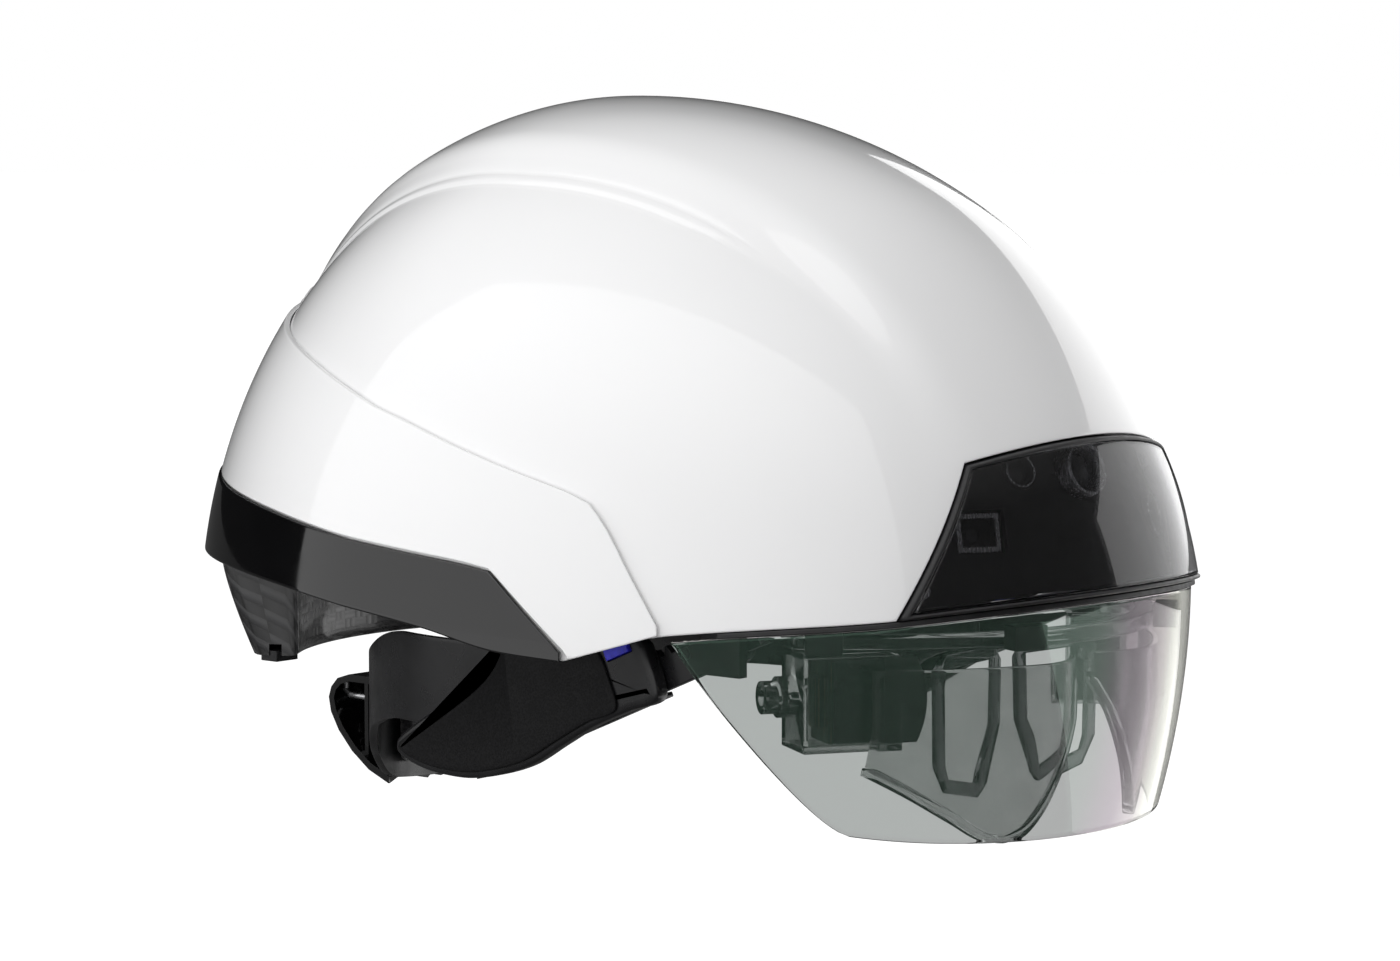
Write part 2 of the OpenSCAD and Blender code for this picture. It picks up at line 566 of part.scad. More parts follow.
module rear_cover() {
    section = [[50, -17], [80, -17], [84.5, -18.4], [87, -21], [88, -24], [87.2, -28], [84.2, -33],
               [79, -38.4], [72.5, -43], [65, -46], [50, -48]];
    hollow = [[40, -19], [80, -19], [83.3, -20], [85.2, -21.8], [86, -24.2], [85.3, -27.2],
              [82.6, -31.8], [77.6, -37], [71.6, -41.2], [64.4, -44], [40, -46]];
    color("black") difference() {
        union() {
            difference() {
                translate([-cover_half_w, 0, 0]) rotate([90, 0, 90]) linear_extrude(2 * cover_half_w)
                    polygon(section);
                translate([-50, 0, 0]) rotate([90, 0, 90]) linear_extrude(100) polygon(hollow);
            }
            translate([-29, 0, 0]) rotate([90, 0, 90]) linear_extrude(58)
                polygon([[rack_y + rack_t + gap, -18], [rack_y + rack_t + gap + 1.4, -18],
                         [rack_y + rack_t + gap + 1.4, -40.5], [rack_y + rack_t + gap, -42]]);
        }
        band_plug();
        translate([0, knob_y - 0.5, rack_z]) rotate([-90, 0, 0]) cylinder(r = knob_r + 1, h = 30);
        translate([0, 60, rack_z]) rotate([-90, 0, 0]) cylinder(r = 3.06, h = 30);
        for (s = [-1, 1]) translate([s * 24, 70, -24]) rotate([-90, 0, 0]) {
            cylinder(r = 1.5, h = 30);
            translate([0, 0, 16.8]) cylinder(r = 3, h = 5);
        }
    }
}
module rear_screws() {
    color("silver") for (s = [-1, 1]) translate([s * 24, 75, -24]) rotate([-90, 0, 0]) {
        cylinder(r = 1.4, h = 11.9);
        translate([0, 0, 11.8]) difference() {
            cylinder(r = 2.8, h = 1.4);
            translate([0, 0, 0.6]) cylinder(r = 1.2, h = 1, $fn = 6);
        }
    }
}

// ---- knob, pinion and racks ----
module knob() {
    color("black") translate([0, knob_y, rack_z]) rotate([-90, 0, 0]) difference() {
        union() {
            cylinder(r = knob_r, h = knob_t - 2);
            translate([0, 0, knob_t - 2.01]) cylinder(r1 = knob_r, r2 = knob_r - 2, h = 2);
        }
        for (k = [0:11]) rotate([0, 0, k * 30])
            translate([knob_r + 2.2, 0, -1]) cylinder(r = 3.6, h = knob_t + 2);
        translate([0, 0, knob_t - 1.5]) cylinder(r = knob_r - 7, h = 3);
        translate([0, 0, -1]) cylinder(r = 3, h = 6);
    }
}
tooth_add = 1;               // tooth height above and below the pitch line
rack_pitch = 2 * PI * pinion_r / pinion_teeth;
module pinion() {
    color("silver") translate([0, rack_y - 0.5, rack_z]) rotate([-90, 0, 0]) {
        linear_extrude(rack_t + 0.6) polygon([for (k = [0:pinion_teeth - 1],
            c = [[pinion_r - 1.3, -rack_pitch * 0.3], [pinion_r, -rack_pitch * 0.25 + backlash / 2],
                 [pinion_r + tooth_add - 0.3, -0.35], [pinion_r + tooth_add - 0.3, 0.35],
                 [pinion_r, rack_pitch * 0.25 - backlash / 2], [pinion_r - 1.3, rack_pitch * 0.3]])
            let (a = 90 + (k + 0.5) * 360 / pinion_teeth)
            [c.x * cos(a) - c.y * sin(a), c.x * sin(a) + c.y * cos(a)]]);
        translate([0, 0, -2.1]) cylinder(r = 2.5, h = 2.4);
        translate([0, 0, rack_t + 0.5]) cylinder(r = 3, h = 6.6);
    }
}
// A rack under the pinion; the one above it is the same piece turned half round
module rack() {
    first = -7;
    last = 6;
    base = -tooth_add - 0.2;
    color("dimgray") translate([0, rack_y, rack_z - pinion_r]) rotate([90, 0, 0]) mirror([0, 0, 1])
        linear_extrude(rack_t) polygon(concat([[(last + 0.5) * rack_pitch, base],
            [(last + 0.5) * rack_pitch, base - rack_h], [(first - 0.5) * rack_pitch, base - rack_h],
            [(first - 0.5) * rack_pitch, base]],
            [for (k = [first:last],
                  c = [[-rack_pitch * 0.4, base], [-rack_pitch * 0.25 + backlash / 2, 0],
                       [-0.35, tooth_add - 0.3], [0.35, tooth_add - 0.3],
                       [rack_pitch * 0.25 - backlash / 2, 0], [rack_pitch * 0.4, base]])
                [k * rack_pitch + c.x, c.y]]));
}
module rack_on(side) {
    if (side == "right") rack();
    else translate([0, 0, 2 * rack_z]) rotate([0, 180, 0]) rack();
}

// ---- battery ----
pack_top = 16.5;
pack_reach = 34;             // how far the pack runs round the back, either side of the middle
rail_x = 26;
function pack_arc(off, z, sweep) = [for (p = ellipse(shell_half_w + off, shell_rear + off,
    90 - sweep, 90 + sweep, 20)) [p.x, p.y, z]];
function pack_plan(off_out, off_in, sweep) = concat(
    ellipse(shell_half_w + off_out, shell_rear + off_out, 90 - sweep, 90 + sweep, 20),
    ellipse(shell_half_w + off_in, shell_rear + off_in, 90 + sweep, 90 - sweep, 20));
function pack_tuck(z) = 9 * pow((pack_top - z) / (pack_top + pack_drop), 1.3);
module battery_case() {
    heights = [-pack_drop, -pack_drop + 7, -pack_drop + 16, pack_top];
    color("darkslategray") difference() {
        patch_solid([for (z = heights) pack_arc(-1.5 - pack_tuck(z), z, pack_reach)],
                    [for (z = heights) pack_arc(-1.5 - pack_t, z, pack_reach)]);
        translate([0, 0, -pack_drop + 4]) linear_extrude(pack_top + pack_drop - 12)
            polygon(pack_plan(-11, 0.5 - pack_t, pack_reach - 3));
        for (s = [-1, 1]) {
            translate([s * rail_x - 2.1, 60, pack_top - 5.4]) cube([4.2, 49, 6]);
            translate([s * rail_x - 4.1, 60, pack_top - 5.4]) cube([8.2, 49, 3]);
            translate([s * 50 - 4.4, 84.4, -pack_drop - 1]) cube([8.8, 6.8, 4.2]);
        }
    }
}
module battery_cells() {
    color("steelblue") for (k = [-1:1]) rotate([0, 0, k * 20])
        translate([-15, 99.4 - 0.9 * abs(k), -5.8]) cube([30, 6.8, 13]);
}
module battery_latch() {
    color("black") translate([-50 - 4.1, 84.7, -pack_drop - 1.6]) cube([8.2, 6.2, 3]);
}
module battery_dock() {
    color("black") {
        translate([0, 0, pack_top + gap]) linear_extrude(6.2) polygon(pack_plan(-5, -pack_t, 33));
        for (s = [-1, 1]) translate([s * rail_x, 88, 0]) {
            translate([-1.7, 0, pack_top - 2.9]) cube([3.4, 20, 4]);
            translate([-3.7, 0, pack_top - 5]) cube([7.4, 20, 2.2]);
        }
    }
}

upper_shell();
rear_panel();
rear_band();
rim_trim();
sensor_cover();
cover_seal();
sensor_bezel();
cover_screws();
tracking_camera();
depth_camera();
depth_window();
side_cameras();
inner_liner();
main_board();
battery_dock();
visor_catches();
optics_bar();
optics_screws();
crown_strap(0, 0);  // crown_strap_long
union() {  // crown_straps_cross
    crown_strap(55, 1);
    crown_strap(-55, 2);
}
for (side = SIDES) on_side(side) display_board();  // display_boards
for (side = SIDES) on_side(side) combiner_rim();  // combiner_rims
strap_clips();
front_headband();
brow_pad();
arm_brackets();
visor();
occipital_band();
nape_pad();
rear_cover();
rear_screws();
knob();
pinion();
battery_case();
battery_cells();
for (side = SIDES) {
    on_side(side) display_housing();
    on_side(side) display_engine();
    on_side(side) relay_lens();
    on_side(side) combiner();
    on_side(side) eye_frame();
    on_side(side) ratchet_arm();
    on_side(side) paddle();
    on_side(side) side_panel();
    on_side(side) side_pad();
    on_side(side) release_button();
    rack_on(side);
    on_side(side) battery_latch();
}
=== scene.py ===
"""The looks of the augmented-reality hard hat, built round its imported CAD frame.

Shapes are worked out in millimetres from the same few sizes as the CAD source and turned
into metres when a mesh is made. +Z is up, the front faces -Y, the wearer's right is -X.
"""

import json
import math

import bpy
import numpy as np
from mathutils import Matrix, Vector


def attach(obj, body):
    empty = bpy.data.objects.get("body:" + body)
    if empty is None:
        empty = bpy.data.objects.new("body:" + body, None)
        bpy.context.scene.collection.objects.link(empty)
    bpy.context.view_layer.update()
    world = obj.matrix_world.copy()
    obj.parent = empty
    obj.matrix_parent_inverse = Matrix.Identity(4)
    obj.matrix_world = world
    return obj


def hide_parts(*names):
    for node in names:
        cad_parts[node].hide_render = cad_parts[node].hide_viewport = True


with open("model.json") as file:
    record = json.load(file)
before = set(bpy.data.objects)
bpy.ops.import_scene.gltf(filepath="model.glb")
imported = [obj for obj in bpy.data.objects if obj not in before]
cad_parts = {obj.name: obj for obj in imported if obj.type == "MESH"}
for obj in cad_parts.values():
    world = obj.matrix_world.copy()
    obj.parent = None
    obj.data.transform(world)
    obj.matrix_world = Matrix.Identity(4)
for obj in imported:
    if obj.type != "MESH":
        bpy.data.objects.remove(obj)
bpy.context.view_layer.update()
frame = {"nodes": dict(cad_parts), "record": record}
scene = bpy.context.scene
MM = 0.001
SIDES = {"right": 1, "left": -1}  # the right is drawn, and the left is its mirror image

# ---- camera ----

TARGET = Vector((0, -0.0216, 0.0408))
BACK = Vector((-0.7631, -0.6403, 0.0872))  # from the target towards the camera
camera = bpy.data.objects.new("camera", bpy.data.cameras.new("camera"))
camera.data.lens = 100
camera.data.sensor_width = 36
camera.location = TARGET + BACK * 1.036
camera.rotation_euler = (-BACK).to_track_quat("-Z", "Y").to_euler()
scene.collection.objects.link(camera)
scene.camera = camera
scene.view_settings.view_transform = "Standard"

# ---- sizes, in millimetres ----

HALF_W, FRONT, REAR, HEIGHT, WALL = 112, 164, 120, 139, 3
CREST_RISE, CREST_HALF_W, CREST_RAMP = 4, 47, 13
WINDOW_LOW, WINDOW_TOP, WINDOW_PHI = (21.9, 17.8), (59, 53.9), (34.2, 23.5)
RIM = [(34.2, 17.8), (57, 13.5), (66.7, 6.5), (73, 9), (82, 14), (93, 18), (106, 21), (120, 22.6),
       (180, 24)]
SEAM = [(57.5, 15.5), (60.2, 27.9), (62.7, 39.4), (64.3, 44.4), (66.6, 46.8), (72, 50.9), (79, 56.4),
        (87, 62.8), (97, 69), (110, 75.5), (126, 81.2), (150, 87.5), (180, 90.6)]
BAND_TOP = [(66.7, 8.5), (74, 27.2), (77, 28.6), (83, 30.4), (92, 33), (108, 37.5), (123, 40.4),
            (150, 44.5), (180, 46.8)]
BAND_LOW = [(66.7, 6.5), (73, 7.9), (81, 12.5), (93, 16.8), (105, 19.6), (120, 21.3), (150, 22.5),
            (180, 23)]
PANEL_LOW = [(57.5, 13.9), (66, 7.2), (66.4, 9)] + [(p, z + 0.5) for p, z in BAND_TOP if p > 70]
LINER_EDGE = [(0, 64), (36, 60), (52, 34), (90, 26), (140, 40), (180, 46)]
LINER_OFFS = (-13, -16)  # the liner's two faces, from the shell's outer one
TRIM_PHI, TRIM_H, GAP = 52, 1.4, 0.3
VISOR_PHI, VISOR_LOW_PHI, VISOR_TOP_Z = 56.5, 38, 20
VISOR_TAPER, VISOR_DROP, VISOR_T = 0.0023, 38, 2.4
ARM_X, ARM_T, ARM_SLOPE, PIVOT = 75.2, 2.6, 23, (-96, 10.6)
REAR_Y, RACK_Z = 71, -32.5
HEAD_W, HEAD_L, HEAD_TOP, STRAP_W, STRAP_T, STRAP_LIFT = 78, 98, 104, 20, 1.2, 2.4
PACK_T, PACK_DROP, PACK_TOP, PACK_REACH, RAIL_X, LATCH_X = 21.5, 10, 16.5, 34, 26, 50

# ---- curves and surfaces ----


def smooth(t):
    t = np.clip(t, 0, 1)
    return t * t * (3 - 2 * t)


def mix(a, b, t):
    return a + (b - a) * t


def unit(v):
    return v / np.maximum(np.linalg.norm(v, axis=-1, keepdims=True), 1e-9)


def curve(points, at, corners=()):
    """A smooth line through points, read at some abscissas, that turns sharply at its corners."""
    x, y = np.array(points, float).T
    slope = np.diff(y) / np.diff(x)
    before = np.concatenate([slope[:1], slope])
    after = np.concatenate([slope, slope[-1:]])
    same = before * after > 0
    mean = np.where(same, 2 * before * after / np.where(same, before + after, 1), 0)
    mean[0] = 0 if x[0] == 0 else slope[0]
    mean[-1] = 0 if x[-1] == 180 else slope[-1]
    sharp = np.isin(x, corners)
    arrive, leave = np.where(sharp, before, mean), np.where(sharp, after, mean)
    at = np.clip(np.asarray(at, float), x[0], x[-1])
    i = np.clip(np.searchsorted(x, at, side="right") - 1, 0, len(x) - 2)
    h = x[i + 1] - x[i]
    t = (at - x[i]) / h
    return (y[i] * (1 + 2 * t) * (1 - t) ** 2 + y[i + 1] * t * t * (3 - 2 * t)
            + h * (leave[i] * t * (1 - t) ** 2 - arrive[i + 1] * t * t * (1 - t)))


def spread(stops, step):
    """Values about a step apart that pass through every stop."""
    runs = [np.linspace(a, b, max(2, round((b - a) / step) + 1))[:-1]
            for a, b in zip(stops, stops[1:])]
    return np.concatenate(runs + [stops[-1:]])


def rim_z(phi):
    """The edge of the shell: over the window, down its side, and then round to the back."""
    fold = abs(phi)
    over = mix(*WINDOW_TOP, (fold / WINDOW_PHI[1]) ** 2) + 0.15
    down = (fold - WINDOW_PHI[1]) / (WINDOW_PHI[0] - WINDOW_PHI[1])
    side = mix(WINDOW_TOP[1] + 0.15, WINDOW_LOW[1], down)
    return np.select([fold <= WINDOW_PHI[1], fold <= WINDOW_PHI[0]], [over, side],
                     curve(RIM, fold, (34.2, 66.7)))


def window_low_z(phi):
    return mix(*WINDOW_LOW, (phi / WINDOW_PHI[0]) ** 2)


def front_low_z(phi):
    """The lower edge of the shell and window, along the front."""
    return np.where(abs(phi) > WINDOW_PHI[0], rim_z(phi), window_low_z(phi))


def dome(phi, z, off):
    """Points of the shell's dome at angles from the front and heights, moved outwards by off."""
    phi, z, off = np.broadcast_arrays(phi, z, off)
    phi = (phi + 180) % 360 - 180
    a = np.radians(phi)
    lift = np.sqrt(np.clip(1 - (z / (HEIGHT + off)) ** 2, 0, None))
    long = np.where(abs(phi) < 90, FRONT, REAR) + off
    return np.stack([-(HALF_W + off) * np.sin(a) * lift, -long * np.cos(a) * lift, z], -1)


def front_y(x, z, off):
    lift = 1 - (z / (HEIGHT + off)) ** 2
    return -(FRONT + off) * np.sqrt(np.clip(lift - (x / (HALF_W + off)) ** 2, 0, None))


def inside_crest(x, y):
    """How far a place lies inside the crest's foot line, seen from above."""
    taper = np.where(y < -10, 0.052 * (-10 - y), np.where(y > 0, 0.0016 * y * y, 0))
    return CREST_HALF_W - taper - abs(x) + CREST_RAMP / 2


def crest_height(x, y):
    """The crest: a soft ramp at the front, and at the back a crisp foot with a thin ledge along it."""
    t = np.clip(inside_crest(x, y) / CREST_RAMP, 0, 1)
    crisp = smooth((y + 105) / 50)
    ramp = mix(smooth(t), 1 - (1 - t) ** 2.4, 0.8 * crisp)
    ledge_w = 3.2 * crisp
    ledge = 0.75 * crisp * smooth((inside_crest(x, y) + ledge_w) / 1.1) * (1 - smooth(t * 2.5))
    return (CREST_RISE * ramp + ledge) * smooth((y + 150) / 60) * smooth((116 - y) / 30)


def crested(p):
    long = np.where(p[..., 1] < 0, FRONT, REAR)
    normal = unit(np.stack([p[..., 0] / HALF_W**2, p[..., 1] / long**2, p[..., 2] / HEIGHT**2], -1))
    return p + normal * crest_height(p[..., 0], p[..., 1])[..., None]


def visor_wall(phi, z, off):
    pull = VISOR_TAPER * np.clip(VISOR_TOP_Z - z, 0, None) ** 2
    p = dome(phi, VISOR_TOP_Z, off - pull)
    p[..., 2] = z
    return p


def visor_y(x, z, off):
    pull = VISOR_TAPER * np.clip(VISOR_TOP_Z - z, 0, None) ** 2
    return front_y(x, VISOR_TOP_Z, off - pull)


def window_point(u, v, off):
    z = mix(mix(*WINDOW_LOW, u * u), mix(*WINDOW_TOP, u * u), v)
    return dome(mix(u * WINDOW_PHI[0], u * WINDOW_PHI[1], v), z, off)


def from_arm(points):
    """Points of a ratchet arm's own plane (back along it, up across it, outwards) in the frame."""
    c, s = math.cos(math.radians(ARM_SLOPE)), math.sin(math.radians(ARM_SLOPE))
    x, y, z = np.moveaxis(np.asarray(points, float), -1, 0)
    return np.stack([-z - ARM_X, c * x + s * y + PIVOT[0], -s * x + c * y + PIVOT[1]], -1)


# ---- meshes ----


def volume(points, faces):
    """The signed volume of closed quads and triangles."""
    total = 0.0
    for size in {len(f) for f in faces}:
        p = points[np.array([f for f in faces if len(f) == size])]
        for k in range(1, size - 1):
            total += np.einsum("ij,ij->", p[:, 0], np.cross(p[:, k], p[:, k + 1]))
    return total


def make(name, points, faces, finish, body, mirrored=False, uv=None, replaces=()):
    """One piece from points in millimetres. uv gives each point its place on a weave."""
    points = np.asarray(points, float).reshape(-1, 3)
    if mirrored:
        points = points * (-1, 1, 1)
    if volume(points, faces) < 0:
        faces = [tuple(reversed(f)) for f in faces]
    mesh = bpy.data.meshes.new(name)
    mesh.from_pydata((points * MM).tolist(), [], faces)
    mesh.polygons.foreach_set("use_smooth", [True] * len(mesh.polygons))
    if uv is not None:
        layer = mesh.uv_layers.new(name="weave")
        corners = np.zeros(len(mesh.loops), int)
        mesh.loops.foreach_get("vertex_index", corners)
        layer.data.foreach_set("uv", np.asarray(uv, float).reshape(-1, 2)[corners].ravel())
    mesh.materials.append(finishes[finish])
    piece = bpy.data.objects.new(name, mesh)
    scene.collection.objects.link(piece)
    if body:
        dress(piece, finish, body, replaces)
    return piece


def dress(piece, finish, body, replaces=()):
    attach(piece, body)
    if replaces:
        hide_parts(*replaces)


def quads(rows, cols, start=0, ring=False):
    """Faces between the rows of a grid, and round it if it is a ring."""
    return [(start + i * cols + j, start + i * cols + (j + 1) % cols,
             start + (i + 1) * cols + (j + 1) % cols, start + (i + 1) * cols + j)
            for i in range(rows - 1) for j in range(cols if ring else cols - 1)]


def stretch(grid, near, far):
    """A grid read again between shares near and far of each column, which may differ by column."""
    rows = len(grid)
    at = mix(near, far, np.linspace(0, 1, rows)[:, None]) * (rows - 1)
    i = np.clip(at.astype(int), 0, rows - 2)[..., None]
    below, above = np.take_along_axis(grid, i, 0), np.take_along_axis(grid, i + 1, 0)
    return mix(below, above, at[..., None] - i)


def inset(grid, distance):
    """A grid whose borders have moved inwards by a distance, less where it is narrow."""
    for _ in range(2):
        length = np.linalg.norm(np.diff(grid, axis=0), axis=-1).sum(0)
        share = np.minimum(distance / length, 0.3)
        grid = stretch(grid, share, 1 - share).swapaxes(0, 1)
    return grid


def edge_section(radius, steps=8):
    """How an edge is rounded: distances from the border, and places from the outer face (1) to
    the inner one (0)."""
    for k in range(steps + 1):
        side, bulge = math.cos(math.pi * k / steps), max(0.0, math.sin(math.pi * k / steps))
        yield radius * (1 - bulge**0.5), (1 + math.copysign(abs(side) ** 0.5, side)) / 2


def border(grid):
    """The loop of points round a grid."""
    return np.concatenate([grid[0], grid[1:, -1], grid[-1, -2::-1], grid[-2:0:-1, 0]])


def slab(outer, inner, radius, hold=2.2):
    """Points and faces of the wall between two grids, with its edges rounded."""
    rows, cols, _ = outer.shape
    n = rows * cols
    faces_of = [inset(grid, hold * radius) for grid in (outer, inner)]
    loops = [mix(border(inset(inner, d)), border(inset(outer, d)), t) for d, t in edge_section(radius)]
    points = np.concatenate([grid.reshape(-1, 3) for grid in faces_of] + loops)
    around = len(loops[0])
    on_outer = border(np.arange(n).reshape(rows, cols))
    on_rounds = [2 * n + k * around + np.arange(around) for k in range(len(loops))]
    rounds = [on_outer] + on_rounds + [n + on_outer]
    faces = [face[::-1] for face in quads(rows, cols)] + quads(rows, cols, n)
    for a, b in zip(rounds, rounds[1:]):
        a, b = a.tolist(), b.tolist()
        faces += [(a[k], a[(k + 1) % around], b[(k + 1) % around], b[k]) for k in range(around)]
    return points, faces


def raised(grid, distance):
    """The ring at a distance above a grid's lowest one."""
    length = np.linalg.norm(np.diff(grid, axis=0), axis=-1).cumsum(0)
    length = np.concatenate([np.zeros_like(length[:1]), length])
    return np.array([[np.interp(distance, length[:, j], grid[:, j, k]) for k in range(3)]
                     for j in range(grid.shape[1])])


def bowl(outer, inner, outer_top, inner_top, radius, hold=2.2):
    """Points and faces of a dome's wall: grids of rings from the edge up, closed at the top."""
    cols = outer.shape[1]
    loops = [mix(raised(inner, d), raised(outer, d), t) for d, t in edge_section(radius)]
    firsts = [raised(grid, hold * radius)[None] for grid in (outer, inner)]
    rings = np.concatenate([outer[:0:-1], firsts[0], np.array(loops), firsts[1], inner[1:]])
    points = np.concatenate([rings.reshape(-1, 3), [outer_top, inner_top]])
    last = len(rings) * cols
    faces = quads(len(rings), cols, ring=True)
    faces += [((j + 1) % cols, j, last) for j in range(cols)]
    faces += [(last - cols + j, last - cols + (j + 1) % cols, last + 1) for j in range(cols)]
    return points, faces


def slab_map(face, points, thick):
    """A slab's weave map from its face's own, carried round its edges for a thickness."""
    rim = border(face)
    loops = (points - 2 * face.shape[0] * face.shape[1]) // len(rim)
    wrap = [rim + (across, across) for across in np.linspace(0, thick, loops)]
    return np.concatenate([face.reshape(-1, 2), face.reshape(-1, 2)] + wrap)


def prism(outline, low, high, radius, place, crown=0.0):
    """Points and faces of a flat part: an outline drawn in its plane, from low to high, its rims
    rounded and its upper face crowned. place takes points of the plane into the frame."""
    outline = np.asarray(outline, float)
    ahead = unit(np.roll(outline, -1, 0) - np.roll(outline, 1, 0))
    inward = np.stack([-ahead[:, 1], ahead[:, 0]], -1)
    (x, y), (next_x, next_y) = outline.T, np.roll(outline, -1, 0).T
    inward *= 1 if np.sum(x * next_y - y * next_x) > 0 else -1
    turns = [(radius * (1 - math.sin(a)), radius * (1 - math.cos(a))) for a in np.radians([0, 30, 60, 90])]
    loops = [(2.4 * radius, low)]
    loops += [(d, low + rise) for d, rise in turns]
    loops += [(d, high - rise) for d, rise in reversed(turns)]
    loops += [(2.4 * radius, high + crown * 0.5), (4.5 * radius, high + crown)]
    n = len(outline)
    points = np.concatenate([np.column_stack([outline + inward * d, np.full(n, h)]) for d, h in loops])
    faces = quads(len(loops), n, ring=True)
    faces += [tuple(reversed(range(n))), tuple(range(len(points) - n, len(points)))]
    return place(points), faces


def closed_curve(points, step):
    """A smooth closed outline through points, with points about a step apart."""
    p = np.asarray(points, float)
    before, ahead, after = np.roll(p, 1, 0), np.roll(p, -1, 0), np.roll(p, -2, 0)
    runs = []
    for a, b, c, d in zip(before, p, ahead, after):
        n = max(2, round(np.linalg.norm(c - b) / step))
        t = np.linspace(0, 1, n, endpoint=False)[:, None]
        m0 = (c - a) / 2 * min(1, np.linalg.norm(c - b) / max(np.linalg.norm(b - a), 1e-6))
        m1 = (d - b) / 2 * min(1, np.linalg.norm(c - b) / max(np.linalg.norm(d - c), 1e-6))
        runs.append(b * (1 + 2 * t) * (1 - t) ** 2 + c * t * t * (3 - 2 * t)
                    + m0 * t * (1 - t) ** 2 - m1 * t * t * (1 - t))
    return np.concatenate(runs)


def lathe(profile, n, place):
    """Points and faces of a turned part: a profile of (radius, height), closed on its axis."""
    a = np.linspace(0, 2 * np.pi, n, endpoint=False)
    rings = [np.stack([r * np.cos(a), r * np.sin(a), np.full(n, h)], -1) for r, h in profile]
    points = np.concatenate(rings + [[(0, 0, profile[0][1]), (0, 0, profile[-1][1])]])
    last = len(profile) * n
    faces = quads(len(profile), n, ring=True)
    faces += [((j + 1) % n, j, last) for j in range(n)]
    faces += [(last - n + j, last - n + (j + 1) % n, last + 1) for j in range(n)]
    return place(points), faces


def carve(piece, cutters):
    """Cuts closed meshes, given as points and faces, out of a piece."""
    for k, (points, faces) in enumerate(cutters):
        cutter = make(f"{piece.name}_cutter_{k}", points, faces, "black_trim", None)
        cut = piece.modifiers.new("cut", "BOOLEAN")
        cut.operation, cut.solver, cut.object = "DIFFERENCE", "EXACT", cutter
    bpy.context.view_layer.update()
    carved = bpy.data.meshes.new_from_object(piece.evaluated_get(bpy.context.evaluated_depsgraph_get()))
    for cut in list(piece.modifiers):
        bpy.data.objects.remove(cut.object)
        piece.modifiers.remove(cut)
    piece.data = carved
    carved.set_sharp_from_angle(angle=math.radians(35))
    return piece


def boxed(low, high, place=lambda p: p):
    """Points and faces of a box between two corners, for cutting."""
    (x0, y0, z0), (x1, y1, z1) = low, high
    corners = [(x0, y0), (x1, y0), (x1, y1), (x0, y1)]
    points = np.array([(x, y, z) for z in (z0, z1) for x, y in corners], float)
    walls = [(k, (k + 1) % 4, (k + 1) % 4 + 4, k + 4) for k in range(4)]
    return place(points), [(3, 2, 1, 0), (4, 5, 6, 7)] + walls


# ---- materials ----


